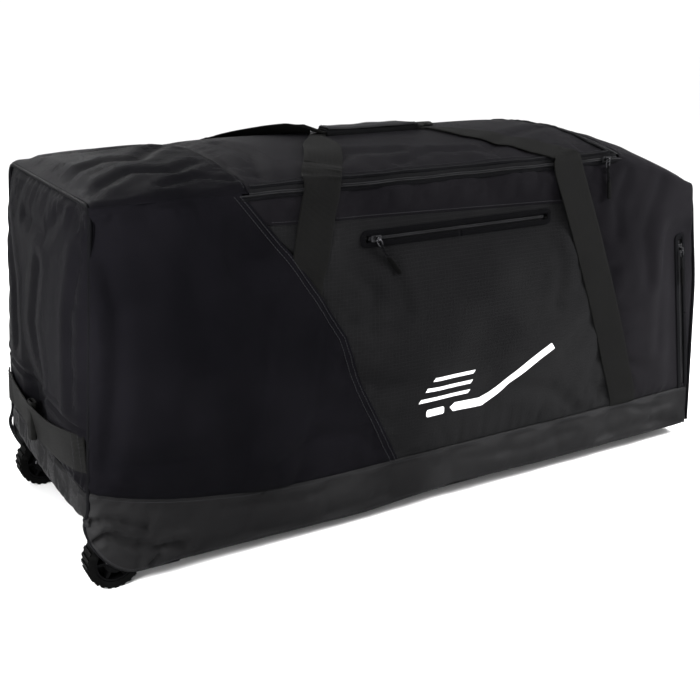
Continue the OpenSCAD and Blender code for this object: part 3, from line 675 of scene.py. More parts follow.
TOP_FOLDS = [
    ([(-0.465, -0.15), (-0.4, -0.1), (-0.35, -0.12), (-0.31, -0.09)], 0.009, 0.0036),
    ([(-0.46, -0.06), (-0.41, -0.03), (-0.37, -0.05), (-0.32, 0.02)], 0.01, 0.0034),
    ([(-0.44, 0.12), (-0.4, 0.06), (-0.34, 0.05)], 0.01, 0.003),
    ([(-0.38, -0.16), (-0.33, -0.145), (-0.29, -0.16)], 0.006, 0.0024),
    ([(-0.25, -0.15), (-0.23, -0.08), (-0.24, 0.0)], 0.01, 0.0026),
    ([(-0.15, -0.15), (-0.1, -0.11), (-0.02, -0.12)], 0.01, 0.0024),
    ([(-0.05, -0.16), (0.02, -0.13), (0.08, -0.14)], 0.008, 0.0022),
    ([(0.1, -0.15), (0.18, -0.1), (0.27, -0.06)], 0.011, 0.0024),
    ([(0.37, -0.1), (0.42, -0.03), (0.43, 0.07)], 0.011, 0.0028),
]


def top_out(u, v):
    return folded(0.6 * fields["top"](u, v), TOP_FOLDS, u, v)


# ---- Cuts of fabric ----
def spaced(length, step):
    """Shares of a length, closer together at its two ends"""
    close = np.array([0, 0.0009, 0.002, 0.0034, 0.0052, 0.0075, 0.0105])
    middle = np.linspace(0.0145, length - 0.0145, max(2, int(round((length - 0.029) / step)) + 1))
    return np.concatenate([close, middle, length - close[::-1]]) / length


def constant(value):
    return lambda a: np.full(np.shape(a), float(value))


class Panel:
    """One cut of fabric on a face of the bag, pulled in at the seams all round it"""

    def __init__(self, place, left, right, bottom, top, out, rolls=None):
        self.place, self.out = place, out
        self.left, self.right, self.bottom, self.top = (
            f if callable(f) else constant(f) for f in (left, right, bottom, top)
        )
        self.rolls = rolls or [(0.0022, 0.009)] * 4

    def n(self, u, v):
        gaps = (u - self.left(v), self.right(v) - u, v - self.bottom(u), self.top(u) - v)
        n = self.out(u, v)
        for gap, (drop, reach) in zip(gaps, self.rolls):
            n = n - drop * np.clip(1 - gap / reach, 0, 1) ** 2
        return n

    def at(self, u, v, lift=0.0):
        u, v = np.broadcast_arrays(np.asarray(u, float), np.asarray(v, float))
        return self.place(u, v, self.n(u, v) + lift)

    def outward(self, u, v):
        zero = np.zeros(np.shape(u))
        return unit(self.place(u, v, zero + 1) - self.place(u, v, zero))

    def build(self, name, material, step, thick, shares=None, drop=None):
        middle_v = float(self.bottom(0.0) + self.top(0.0)) / 2
        wide = abs(float(self.right(middle_v) - self.left(middle_v)))
        middle_u = float(self.left(middle_v) + self.right(middle_v)) / 2
        tall = abs(float(self.top(middle_u) - self.bottom(middle_u)))
        s = spaced(wide, step) if shares is None else shares
        s, t = np.meshgrid(s, spaced(tall, step), indexing="ij")
        v = float(self.bottom(middle_u)) + t * tall
        for _ in range(6):
            u = self.left(v) + (self.right(v) - self.left(v)) * s
            v = self.bottom(u) * (1 - t) + self.top(u) * t
        grid = self.at(u, v)
        hole = None
        if drop is not None:
            uc = (u[:-1, :-1] + u[1:, 1:]) / 2
            vc = (v[:-1, :-1] + v[1:, 1:]) / 2
            hole = drop(uc, vc)
        return shell(name, grid, self.outward(u, v), thick, material, np.stack([u, v], -1), hole)


# ---- Stitches and zip coils: short rounded lengths of thread ----
def capsules(name, centres, runs, outs, length, radius, material, flatten=1.0):
    centres, runs, outs = (np.asarray(a, float).reshape(-1, 3) for a in (centres, runs, outs))
    side = unit(np.cross(runs, outs))
    stations = ((-0.5, 0.35), (-0.36, 1.0), (0.36, 1.0), (0.5, 0.35))
    around = [(math.cos(a), math.sin(a)) for a in np.arange(5) * 2 * math.pi / 5]
    rows = []
    for share, size in stations:
        for ca, sa in around:
            rows.append(centres + runs * share * length + side * ca * radius * size
                + outs * sa * radius * size * flatten)
    points = np.stack(rows, 1).reshape(-1, 3)
    base = []
    for k in range(3):
        for j in range(5):
            j2 = (j + 1) % 5
            base.append((k * 5 + j, k * 5 + j2, k * 5 + 5 + j2, k * 5 + 5 + j))
    faces = []
    for c in range(len(centres)):
        o = c * 20
        faces += [tuple(i + o for i in f) for f in base]
        faces += [tuple(o + i for i in (4, 3, 2, 1, 0)), tuple(o + i for i in (15, 16, 17, 18, 19))]
    return mesh_object(name, points, faces, material)


STITCH_PITCH, STITCH_LENGTH = 0.0042, 0.0031
threads = {}


def sew(body, points, outs):
    threads.setdefault(body, []).append((points, unit(np.gradient(points, axis=0)), outs))


def stitch(panel, line, body="shell"):
    """Topstitching along a line on a panel"""
    line = along(line, STITCH_PITCH)
    sew(body, panel.at(line[:, 0], line[:, 1], 0.0003), panel.outward(line[:, 0], line[:, 1]))


def stitch_path(points, outs, body="shell"):
    """Topstitching along a line in space"""
    both = along(np.concatenate([points, outs], 1), STITCH_PITCH)
    sew(body, both[:, :3], unit(both[:, 3:]))


def coil(name, points, outs, across, body):
    """Two facing rows of zip coil along a line"""
    both = along(np.concatenate([points, outs, across], 1), 0.0017)
    centre, out, side = both[:, :3], unit(both[:, 3:6]), unit(both[:, 6:])
    made = capsules(name, centre, side, out, 0.0021, 0.0006, coil_plastic)
    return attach(made, body)


def piece(made, nodes=(), body="shell"):
    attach(made, body)
    if nodes:
        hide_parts(*nodes)
    return made


BAND_THICK, CLOTH_THICK, THIN_CLOTH = 0.0022, 0.0014, 0.0012
NO_ROLLS = [(0, 0.01)] * 4
BAND_ROLLS = [(0.004, 0.014), (0.0045, 0.014), (0.0016, 0.006), (0.0012, 0.005)]


def cut(panel, name, material, node, slot="fabric", step=0.006, thick=CLOTH_THICK, **more):
    return piece(panel.build(name, material, step, thick, **more), [node])


# ---- Front ----
def wing_out(u, v):
    under = np.abs(u - x_on(LEFT_LEG, v))
    over_strap = 1 - smooth((under - 0.024) / 0.02)
    return front_out(u, v) + 0.0015 + 0.0036 * over_strap


def wing_right(v):
    return x_on(WING_SEAM, v)


def wing_underlap(v):
    """The pocket and the cloth above it run on a little way under the wing"""
    return x_on(WING_SEAM, v) - 0.012


def right_leg(v):
    return x_on(RIGHT_LEG, v)


wing = Panel(on_front, wheel_x, wing_right, band_seam, TOP_SEAM, wing_out,
    [(0.005, 0.016), (0.0006, 0.004), (0.002, 0.008), (0.003, 0.012)])
pocket = Panel(on_front, wing_underlap, right_leg, band_seam, lambda u: z_on(POCKET_TOP, u),
    front_out,
    [(0.0005, 0.004), (0.0015, 0.006), (0.002, 0.008), (0.0016, 0.007)])
upper = Panel(on_front, wing_underlap, right_leg, lambda u: z_on(POCKET_TOP, u), WALL_TOP,
    front_out,
    [(0.0005, 0.004), (0.0015, 0.006), (0.0014, 0.006), (0.001, 0.004)])


def end_top(u):
    return np.where(u < LID_END + 0.008, WALL_TOP + 0.006, edge_height(u) - 0.003)


end_cut = Panel(on_front, right_leg, plain_x, band_seam, end_top, front_out,
    [(0.0015, 0.006), (0.0045, 0.014), (0.002, 0.008), (0.002, 0.008)])


def band_left(v):
    """Follows the piping where it bends out round the wheel"""
    return wheel_x(v) - 0.0055 * smooth((0.118 - v) / 0.012)


band = Panel(on_front, band_left, plain_x, band_edge, band_seam,
    lambda u, v: front_out(u, v) + 0.0008, BAND_ROLLS)

WINDOW = 0.0055
shares = np.concatenate([np.linspace(0, 0.075, 40)[:-1], spaced(0.94, 0.006) * 0.925 + 0.075])
cut(band, "front_base_band", coated, "front_band", "coated", 0.005, BAND_THICK, shares=shares)
cut(wing, "front_wing", wing_cloth, "front_wing_panel", step=0.005)


def pocket_window(u, v):
    return ((np.abs(v - POCKET_ZIP[0][1]) < WINDOW + 0.001)
        & (u > POCKET_ZIP[0][0] - 0.005) & (u < POCKET_ZIP[1][0] + 0.005))


def zip_gap(u, v):
    return (np.abs(u - x_on(END_ZIP, v)) < 0.0055) & (v < END_ZIP[1][1] + 0.003) & (v > 0.09)


cut(pocket, "front_pocket", ripstop, "front_pocket_panel", "ripstop", 0.0042, THIN_CLOTH,
    drop=pocket_window)
cut(upper, "front_upper", polyester, "front_upper_panel", "fabric", 0.005, THIN_CLOTH)
cut(end_cut, "front_end", polyester, "front_end_panel", "fabric", 0.005, THIN_CLOTH, drop=zip_gap)

inset_seam = [(x, float(band_seam(x)) - 0.004) for x in np.linspace(-0.496, 0.496, 60)]
stitch(band, inset_seam)
for inset in (0.0045, 0.0125):
    stitch(wing, [(x - inset, z) for x, z in WING_SEAM])
stitch(upper, [(x, float(z_on(POCKET_TOP, x)) + 0.004) for x in (-0.25, 0.23)])
stitch(band, [(x, float(band_edge(x)) + 0.005) for x in np.linspace(-0.5, 0.49, 120)])


def welt(name, panel, line, half, wide):
    """Folded lips round a zip: a rounded frame that hides the raw edges of its window"""
    (ax, az), (bx, bz) = line
    run = np.array([bx - ax, bz - az])
    run = run / np.linalg.norm(run)
    side = np.array([-run[1], run[0]])
    middle = half + wide / 2
    a, b = np.array([ax, az]) - run * (middle + 0.002), np.array([bx, bz]) + run * (middle + 0.002)
    foot = (a + b) / 2 - side * middle
    loop = [foot, b - side * middle, b + side * middle, a + side * middle, a - side * middle]
    loop = rounded(loop + [foot - run * 0.001], 0.004, 1)
    points = panel.at(loop[:, 0], loop[:, 1], 0.0006)
    outs = panel.outward(loop[:, 0], loop[:, 1])
    runs = unit(np.gradient(points, axis=0))
    across = unit(np.cross(outs, runs))
    return piece(sweep(name, points, across, outs, wide, 0.0022, piping_cloth, shape=2.6))


welt("pocket_welt", pocket, POCKET_ZIP, 0.0042, 0.0075)
welt("end_zip_welt", end_cut, END_ZIP, 0.004, 0.007)


def zip_in_face(name, panel, line, node):
    """Tape and coil lying in the window of a panel"""
    line = along(line, 0.006)
    u, v = line[:, 0], line[:, 1]
    points = panel.place(u, v, panel.n(u, v) - 0.0024)
    outs = panel.outward(u, v)
    across = unit(np.cross(outs, unit(np.gradient(points, axis=0))))
    tape = sweep(name + "_tape", points, across, outs, 0.02, 0.001, tape_cloth, shape=5)
    piece(tape, [node])
    top = points + outs * 0.0012
    for side, word in ((-1, "a"), (1, "b")):
        coil(name + "_coil_" + word, top + across * side * 0.0011, outs, across, "shell")


zip_in_face("pocket_zip", pocket, POCKET_ZIP, "pocket_zip_tape")
zip_in_face("end_zip", end_cut, END_ZIP, "end_zip_tape")


# Generic print: a stick, a puck and three speed lines, lying on the pocket cloth
def printed(shapes):
    bm = bmesh.new()
    for shape in shapes:
        bm.faces.new([bm.verts.new((x / 1000, z / 1000, 0)) for x, z in shape])
    bmesh.ops.triangulate(bm, faces=bm.faces)
    for _ in range(12):
        longest = [e for e in bm.edges if e.calc_length() > 0.008]
        if not longest:
            break
        bmesh.ops.subdivide_edges(bm, edges=longest, cuts=1)
        bmesh.ops.triangulate(bm, faces=bm.faces)
    co = np.array([v.co for v in bm.verts])
    for v, p in zip(bm.verts, pocket.at(co[:, 0], co[:, 1], 0.0004)):
        v.co = p
    solid_faces = bmesh.ops.extrude_face_region(bm, geom=bm.faces[:])
    for v in (g for g in solid_faces["geom"] if isinstance(g, bmesh.types.BMVert)):
        v.co.y += 0.0003
    bmesh.ops.recalc_face_normals(bm, faces=bm.faces)
    mesh = bpy.data.meshes.new("pocket_print")
    bm.to_mesh(mesh)
    bm.free()
    mesh.materials.append(ink)
    made = bpy.data.objects.new("pocket_print", mesh)
    scene.collection.objects.link(made)
    return made


bars = [[(-40 + 12 * k, 164 + 14 * k), (44 + 4 * k, 164 + 14 * k), (48 + 4 * k, 169 + 14 * k),
    (-36 + 12 * k, 169 + 14 * k)] for k in range(3)]
piece(printed([
    [(80, 158), (90, 150), (199, 205), (193, 214)],
    [(90, 150), (80, 158), (64, 153), (22, 154), (14, 148), (20, 141), (70, 140)],
    [(-26, 143), (-24, 141), (2, 141), (4, 143), (4, 150), (2, 152), (-24, 152), (-26, 150)],
    *bars,
]), ["front_print"])


# ---- Rear, ends, base ----
rear_band = Panel(on_rear, wheel_x, plain_x, band_edge, BAND_TOP,
    lambda u, v: rear_out(u, v) + 0.0008, BAND_ROLLS)
rear_wall = Panel(on_rear, wheel_x, plain_x, BAND_TOP,
    lambda u: np.minimum(0.4765, edge_height(u) - 0.004), rear_out,
    [(0.005, 0.016), (0.0045, 0.014), (0.002, 0.008), (0.003, 0.01)])
cut(rear_band, "rear_base_band", coated, "rear_band", "coated", 0.006, BAND_THICK, shares=shares)
cut(rear_wall, "rear_fabric", polyester, "rear_wall")
stitch(rear_band, [(-0.496, BAND_TOP - 0.004), (0.496, BAND_TOP - 0.004)])


def end_edge(y):
    return 0.0865 + 0.017 * np.clip(np.abs(y) / WIDE, 0, 1) ** 3


def end_panels(word, place, foot, seam, top, out, band_out, band_foot, wall, step):
    """The base band and the wall of one end, sewn along their seam"""
    end_band = Panel(place, -END_WIDE, END_WIDE, foot, seam, lambda u, v: out(u, v) + band_out,
        [(0.004, 0.014), (0.004, 0.014), band_foot, (0.0012, 0.005)])
    end_wall = Panel(place, -END_WIDE, END_WIDE, seam, top, out,
        [(0.005, 0.016), (0.005, 0.016), (0.002, 0.008), (0.004, 0.014)])
    cut(end_band, word + "_base_band", coated, word + "_band", "coated", step, BAND_THICK)
    cut(end_wall, word + "_fabric", wall, word + "_panel", step=step)
    stitch(end_band, [(-0.18, seam - 0.004), (0.18, seam - 0.004)])
    return end_wall


wheel_end_wall = end_panels("wheel_end", on_wheel_end, end_edge, END_TOP, TOP_SEAM, wheel_end_out,
    0.0006, (0.003, 0.01), wing_cloth, 0.005)
stitch(wheel_end_wall, [(-0.18, END_TOP + 0.004), (0.18, END_TOP + 0.004)])
end_panels("plain_end", on_plain_end, BASE + 0.001, BAND_TOP, 0.4235, plain_end_out, 0.0008,
    (0.0016, 0.006), polyester, 0.006)

RAMP_X, RAMP = -0.345, 0.078 / 0.16


def under_base(u, v, n):
    return np.stack([u, v, BASE + np.maximum(0, RAMP_X - u) * RAMP - n], -1)


bottom = Panel(under_base, -0.499, 0.504, -0.1835, 0.1835,
    lambda u, v: -0.0004 - 0.0004 * np.sin(u * 23 + np.sin(v * 31)) * np.sin(v * 37),
    NO_ROLLS)
cut(bottom, "bottom_fabric", coated, "bottom_panel", "coated", 0.012, BAND_THICK)


# ---- Top, lid and shoulder ----
SIDE = 0.1868
side_rolls = [(0.0052, 0.013), (0.0052, 0.013)]
TOP_START = float(wheel_x(EDGE)) + 0.002


def near_top_out(u, v):
    """Comes down to the piping along the wheeled end"""
    n = top_out(u, v)
    u = np.asarray(u, float)
    lifted = crown(u) * (1 - (v / HALF) ** 2) + n
    return n - (lifted - 0.002) * (1 - smooth((u - TOP_START) / 0.028))


near_top = Panel(on_top, TOP_START, LID_START, -SIDE, SIDE, near_top_out,
    [(0.003, 0.01), (0.0012, 0.006)] + side_rolls)
lid_cut = Panel(on_top, LID_START, LID_END - 0.0085, -SIDE, SIDE, top_out,
    [(0.0012, 0.006), (0.001, 0.006), (0.003, 0.009), (0.003, 0.009)])
shoulder = Panel(on_top, LID_END + 0.0075, SHOULDER_END, -SIDE, SIDE, top_out,
    [(0.001, 0.005), (0.0045, 0.014)] + side_rolls)
cut(near_top, "near_top", wing_cloth, "top_panel")
lid_fabric = lid_cut.build("lid_fabric", polyester, 0.006, 0.0016)
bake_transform(lid_fabric)
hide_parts("lid_panel")
cut(shoulder, "shoulder_fabric", polyester, "shoulder_panel")
stitch(near_top, [(LID_START - 0.004, -0.18), (LID_START - 0.004, 0.18)])
for side in (-1, 1):
    stitch(lid_cut, [(LID_START + 0.02, side * 0.1745), (LID_END - 0.022, side * 0.1745)], "lid")
stitch(lid_cut, [(LID_END - 0.02, -0.172), (LID_END - 0.02, 0.172)], "lid")
stitch(shoulder, [(LID_END + 0.012, -0.18), (LID_END + 0.012, 0.18)])

UP = np.array([0, 0, 1.0])


def flat_tape(name, points, outs, width, thick, material, body, nodes=(), shape=4):
    run = unit(np.gradient(points, axis=0))
    outs = unit(outs - run * (outs * run).sum(1)[:, None])
    made = sweep(name, points, unit(np.cross(outs, run)), outs, width, thick, material, shape=shape)
    return piece(made, nodes, body)


# The binding runs round the lid's three zipped sides, eased at its two corners
start, far, y = LID_START + 0.004, LID_END - 0.0125, HALF - 0.0042
line = rounded([(start, -y), (far, -y), (far, y), (start, y)], 0.004, 3)
border = lid_cut.place(line[:, 0], line[:, 1], top_out(line[:, 0], line[:, 1]) + 0.0006)
leaning = np.stack([np.zeros(len(border)), border[:, 1] * 2.4, np.full(len(border), 1.0)], -1)
flat_tape("lid_binding_tape", border, unit(leaning), 0.0085, 0.003, piping_cloth, "lid",
    ["lid_binding"], 2.6)
stitch_path(border + unit(leaning) * 0.0015, unit(leaning), "lid")

ZIP_Z = 0.476
for side, word in ((-1, "front"), (1, "rear")):
    out = np.tile([0, side * 1.0, 0], (80, 1))
    up = np.tile(UP, (80, 1))

    def line_at(z, n, moving=False):
        first, last = (0.001, -0.001) if moving else (-0.012, 0.0085)
        xs = np.linspace(LID_START + first, LID_END + last, 80)
        wave = 0.0004 * np.sin(xs * 70)
        return np.stack([xs, np.full(80, side * (HALF + n)), np.full(80, z) + wave], -1)

    fixed_nodes, moving_nodes = (["lid_zip_tape"], ["lid_zip_edge"]) if side < 0 else ([], [])
    flat_tape("zip_tape_" + word, line_at(ZIP_Z - 0.0038, -0.0012), out, 0.0072, 0.0011,
        tape_cloth, "shell", fixed_nodes)
    flat_tape("zip_edge_" + word, line_at(ZIP_Z + 0.0037, -0.0012, True), out, 0.0068, 0.0011,
        tape_cloth, "lid", moving_nodes)
    coil("zip_coil_" + word, line_at(ZIP_Z - 0.0012, 0.0001), out, up, "shell")
    coil("zip_edge_coil_" + word, line_at(ZIP_Z + 0.0012, 0.0001, True), out, up, "lid")
    lip = line_at(WALL_TOP - 0.0002, 0.0006)
    flat_tape("zip_lip_" + word, lip, out, 0.0042, 0.0026, piping_cloth, "shell", (), 2.4)
# Across the plain end; the moving half is a little shorter, so that it clears the corners
ys = np.linspace(-0.1865, 0.1865, 60)
up, across = np.tile(UP, (60, 1)), np.tile([1.0, 0, 0], (60, 1))
for body, word, shift, share in (("shell", "tape", -1, 1), ("lid", "edge", 1, 0.978)):
    points = on_top(np.full(60, LID_END - shift * 0.0042), ys * share, np.full(60, -0.0012))
    flat_tape("zip_far_" + word, points, up, 0.0075, 0.0011, tape_cloth, body)
    coil("zip_far_coil_" + word, points + [shift * 0.0031, 0, 0.0009], up, across, body)


# ---- Piping ----
def corner_bend(y, z, radius, side, count=8):
    angles = np.linspace(0, math.pi / 2, count)
    return [(side * (y - radius + radius * math.cos(a)), z - radius + radius * math.sin(a))
        for a in angles]


def piped(name, place, bottom_z, top_z, start, end, nodes):
    y = SIDE
    ring = [(-y, bottom_z)] + corner_bend(y, top_z, 0.016, -1)
    ring += corner_bend(y, top_z, 0.016, 1)[::-1] + [(y, bottom_z)]
    ring = along(ring, 0.006)
    rise = place(ring[:, 0], ring[:, 1], np.full(len(ring), -0.0008))
    return piece(tube(name, rounded(np.concatenate([start, rise, end]), 0.005, 2), 0.0026,
        piping_cloth), nodes)


flap_x = np.concatenate([np.linspace(-0.39, -0.45, 14), np.linspace(-0.4525, -0.5072, 26)])
flap = np.stack([flap_x, np.full(40, -SIDE), band_edge(flap_x) + 0.0003], -1)
far_flap = flap[::-1] * [1, -1, 1]
piped("wheel_end_piped_edge", on_wheel_end, 0.11, 0.4795, flap, far_flap, ["wheel_end_piping"])
piped("plain_end_piped_edge", on_plain_end, 0.0245, 0.4248, np.zeros((0, 3)), np.zeros((0, 3)),
    ["plain_end_piping"])


# ---- Carry handles: one length of webbing each side, up a leg, over the lid and down ----
GRIP_LOW, GRIP_HIGH = low("grip_wrap"), high("grip_wrap")
GRIP = GRIP_HIGH[0]


def top_height(x, y):
    return edge_height(x) + crown(x) * (1 - (y / HALF) ** 2) + top_out(x, y)


STRAP, STRAP_THICK = 0.051, 0.0024
LEAN_LIFT = 0.34  # how far a strap on its edge stands up, as a share of its width
CLEAR = 0.0034  # the strap's middle above the lid's cloth


def half_handle(leg, edge_x, end_x, side, inner_z, out, rise, gather, tilt):
    """Rows of (point, across, width, thick) from the band to the middle of the grip, front side"""
    rows = []
    sign = -1 if end_x < 0 else 1
    zs = np.arange(0.079, 0.464, 0.006)
    legs = x_on(leg, zs)
    lifts = np.max([out(legs + shift, zs) for shift in (-0.022, 0, 0.022)], axis=0)
    lifts = np.convolve(np.pad(lifts, 8, mode="edge"), np.hanning(19)[1:-1] / 9, "valid")
    if sign < 0 and out is front_out:
        under_wing = smooth((x_on(WING_SEAM, zs) + 0.012 - legs) / 0.02)
        lifts = lifts * (1 - under_wing) + (out(legs, zs) - 0.0022) * under_wing
    tucked = smooth((zs - 0.0845) / 0.008)
    lifts = lifts * tucked + (out(legs, zs) - 0.0032) * (1 - tucked)
    for x, z, lift in zip(legs, zs, lifts):
        rows.append((x, -HALF - lift - 0.0018, z, -sign, 0, 0, STRAP, STRAP_THICK))
    for y, z in ((-0.1919, 0.47), (-0.192, 0.477), (-0.1915, 0.484), (-0.1895, 0.4885)):
        rows.append((edge_x, y, z, -sign, 0, 0, STRAP, STRAP_THICK))
    run = np.array([end_x - edge_x, HALF - 0.014])
    turn = np.array([run[1], -run[0]]) / np.linalg.norm(run) * -sign
    for s in np.linspace(0.03, 1, 26):
        x, y = edge_x + run[0] * s * (1.4 - 0.4 * s), -0.186 + 0.172 * s
        ease = s ** rise
        z = float(top_height(x, y * side)) + CLEAR - 0.0015 * min(1, s / 0.15)
        z = z * (1 - ease) + inner_z * ease
        fold = float(np.clip((s - gather) / (1 - gather), 0, 1))
        lean = tilt * s * (sign < 0)
        z = z + STRAP * LEAN_LIFT * math.sin(lean)
        turned = float(smooth(s / 0.45))
        ax, ay = turn * turned + np.array([-sign, 0]) * (1 - turned)
        slope = float(top_height(x + ax * 0.02, (y + ay * 0.02) * side)
            - top_height(x - ax * 0.02, (y - ay * 0.02) * side)) / 0.04
        az = slope * (1 - fold) - math.tan(lean)
        rows.append((x, y, z, ax, ay, az, STRAP - 0.035 * fold, STRAP_THICK + 0.0026 * fold))
    for reach in (GRIP + 0.002, GRIP * 0.5):
        rows.append((sign * reach, 0, inner_z, 0, -1, 0, 0.026, 0.004))
    return rows


def handle(name, side, body, nodes, *shape):
    left = half_handle(LEFT_LEG, -0.182, -0.098, side, *shape)
    right = half_handle(RIGHT_LEG, 0.215, 0.098, side, *shape)
    rows = np.array(left + right[::-1])
    rows = along(rows, 0.006)
    for _ in range(3):
        rows[1:-1] = (rows[:-2] + 2 * rows[1:-1] + rows[2:]) / 4
    path, across = rows[:, :3] * [1, side, 1], rows[:, 3:6] * [1, side, 1]
    run = unit(np.gradient(path, axis=0))
    across = unit(across - run * (across * run).sum(1)[:, None])
    up = np.cross(across, run)
    made = sweep(name, path, across, up, rows[:, 6], rows[:, 7], webbing, shape=5, columns=7)
    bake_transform(made)
    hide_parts(*nodes)
    for x_sign in (-1, 1):
        for offset in (-0.0215, 0.0215):
            edge = [(path[k] + across[k] * offset, up[k]) for k in range(len(path))
                if 0.09 < path[k][2] < 0.462 and path[k][0] * x_sign > 0]
            points, outs = (np.array(a) for a in zip(*edge))
            outs = outs * np.sign((outs * [0, side, 0]).sum(1))[:, None]
            stitch_path(points + outs * 0.0012, outs)


handle("front_handle_strap", 1, "front_handle", ["front_straps", "front_handle_webbing"],
    0.5142, front_out, 5, 0.66, 0.0)
handle("rear_handle_strap", -1, "rear_handle", ["rear_straps", "rear_handle_webbing"],
    0.5182, rear_out, 30, 0.93, 0.4)


def padded_sleeve(name, path, across, up, width, thick, material, turned=0.006):
    """A tube whose open ends are turned in; width and thick are its outer sizes along the path"""
    path = np.asarray(path, float)
    run = unit(path[-1] - path[0])
    first, last = path[0], path[-1]
    points = [first + run * turned, first + run * 0.0004, first - run * 0.0006]
    ends = [last + run * 0.0006, last - run * 0.0004, last - run * turned]
    path = np.concatenate([points, path, ends])
    sizes = []
    for size in (width, thick):
        inner = size[0] - 0.0042
        mouth = [inner, inner, inner + 0.002]
        sizes.append(np.concatenate([mouth, size, mouth[::-1]]))
    n = len(path)
    return sweep(name, path, np.tile(across, (n, 1)), np.tile(up, (n, 1)), *sizes, material,
        shape=3.2, columns=10)


# Grip wrap: a padded cloth tube round both lengths of webbing, in near-black cloth that paints the
# shade under the grip
xs = np.linspace(-GRIP, GRIP, 64)
puff = 0.0012 * np.cos(xs * 90) * np.sin(xs * 41 + 1) + 0.0006 * np.sin(xs * 170)
middle_z = (GRIP_LOW[2] + GRIP_HIGH[2]) / 2
width = (GRIP_HIGH[1] - GRIP_LOW[1]) - 0.001 + puff
thick = (GRIP_HIGH[2] - GRIP_LOW[2]) - 0.0006 + 0.6 * puff
path = np.stack([xs, np.zeros(64), middle_z - 0.0022 * np.cos(xs / GRIP * 1.4)], -1)
wrap = padded_sleeve("grip_wrap_cloth", path, np.array([0, 1.0, 0]), UP, width, thick, wrap_cloth_painted_shade)
piece(wrap, ["grip_wrap"], "front_handle")

# Its hook-and-loop flap lies over the top, with one slanted end; its paler cloth paints the light
# falling on the grip's top
FLAP_LOW, FLAP_HIGH = low("grip_flap"), high("grip_flap")


def on_flap(u, v, n):
    """Over the top of the wrap, then down its front and back"""
    over = np.clip(np.abs(v) - 0.0145, 0, 1)
    turn = smooth(over / 0.004)
    y = np.sign(v) * (np.abs(v) - over + 0.0019 * turn + n * turn)
    sag = 0.0016 * np.cos(u / GRIP * 1.4) - 0.0008
    return np.stack([u, y, FLAP_LOW[2] + 0.0012 - 0.95 * over + n * (1 - turn) - sag], -1)


flap_panel = Panel(on_flap, FLAP_LOW[0] + 0.001, lambda v: FLAP_HIGH[0] - 0.001
    - 0.016 * np.clip((v + 0.02) / 0.04, 0, 1), FLAP_LOW[1] - 0.0004, FLAP_HIGH[1] + 0.0072,
    lambda u, v: 0.0007 * np.sin(u * 60 + 1) + 0.0004 * np.sin(u * 143 + v * 90),
    [(0.0006, 0.004)] * 4)
piece(flap_panel.build("grip_flap_cloth", grip_cloth, 0.004, 0.0017), ["grip_flap"],
    "grip_flap")
for y, far in ((-0.0135, 0.07), (0.0135, 0.055)):
    stitch(flap_panel, [(-0.072, y), (far, y)], "grip_flap")


# ---- Handles on the ends ----
def end_handle(name, place, out, z, half, bow, droop, slump, width, nodes):
    for side, word in ((-1, "a"), (1, "b")):
        s = np.linspace(0, 1, 40)
        y = half[side > 0] * s
        reach = 1 - s ** 2
        n = 0.0016 + np.maximum(bow * reach, out(side * y, np.full(40, z)))
        v = z - droop * reach + 0.0008 * np.sin(s * 11) - (side > 0) * slump * s ** 2
        path = place(side * y, v, n)
        up = place(side * y, v, n + 1) - place(side * y, v, n)
        raised = place(side * y, v + 0.01, n) - path
        tilt = unit(raised + up * 0.0022 * reach[:, None])
        run = unit(np.gradient(path, axis=0))
        across = unit(tilt - run * (tilt * run).sum(1)[:, None])
        made = sweep(name + "_" + word, path, across, np.cross(across, run), width, STRAP_THICK,
            webbing, shape=5, columns=7)
        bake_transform(made)
        if side < 0:
            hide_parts(nodes)
        for k in (-3, -6):
            half_run = across[k] * width * 0.42
            ends = np.array([path[k] - half_run, path[k] + half_run])
            outs = np.tile(up[k], (2, 1))
            stitch_path(ends + outs * 0.0013, outs)


GRAB_Z, TOW_Z = 0.187 * WHEEL_COS, 0.3 * PLAIN_COS
GRAB_BOW = 0.016
end_handle("grab_strap", on_wheel_end, wheel_end_out, GRAB_Z, (0.184, 0.168), GRAB_BOW, 0.02,
    0.022, 0.047, "grab_handle_webbing")
end_handle("tow_strap", on_plain_end, plain_end_out, TOW_Z, (0.112, 0.112), 0.025, 0.012, 0.0,
    0.037, "tow_handle_webbing")

roll_low, roll_high = low("grab_handle_roll"), high("grab_handle_roll")
roll_middle = (roll_low + roll_high) / 2 + [0.025 - GRAB_BOW, 0, 0]
zs = np.linspace(roll_low[2] + 0.001, roll_high[2] - 0.001, 26)
lean = np.array([WHEEL_SIN, 0, WHEEL_COS])
path = roll_middle + np.outer(zs - roll_middle[2], lean)
swell = 0.0012 * np.sin((zs - zs[0]) / (zs[-1] - zs[0]) * math.pi) + 0.0004 * np.sin(zs * 400)
roll = padded_sleeve("grab_roll_cloth", path, np.array([0, 1.0, 0]),
    np.array([-WHEEL_COS, 0, WHEEL_SIN]), 0.021 + swell, 0.009 + swell, webbing, 0.004)
piece(roll, ["grab_handle_roll"], "grab_handle")

tow_low, tow_high = low("tow_handle_sleeve"), high("tow_handle_sleeve")
tow_middle = (tow_low + tow_high) / 2
ys = np.linspace(tow_low[1] + 0.001, tow_high[1] - 0.001, 30)
path = np.stack([np.full(30, tow_middle[0]), ys, np.full(30, tow_middle[2])], -1)
swell = 0.0014 * np.cos(ys * 52)
sleeve = padded_sleeve("tow_sleeve_cloth", path, np.array([PLAIN_SIN, 0, -PLAIN_COS]),
    np.array([PLAIN_COS, 0, PLAIN_SIN]), 0.044 + swell, 0.0082 + swell, grip_cloth, 0.004)
piece(sleeve, ["tow_handle_sleeve"], "tow_handle")


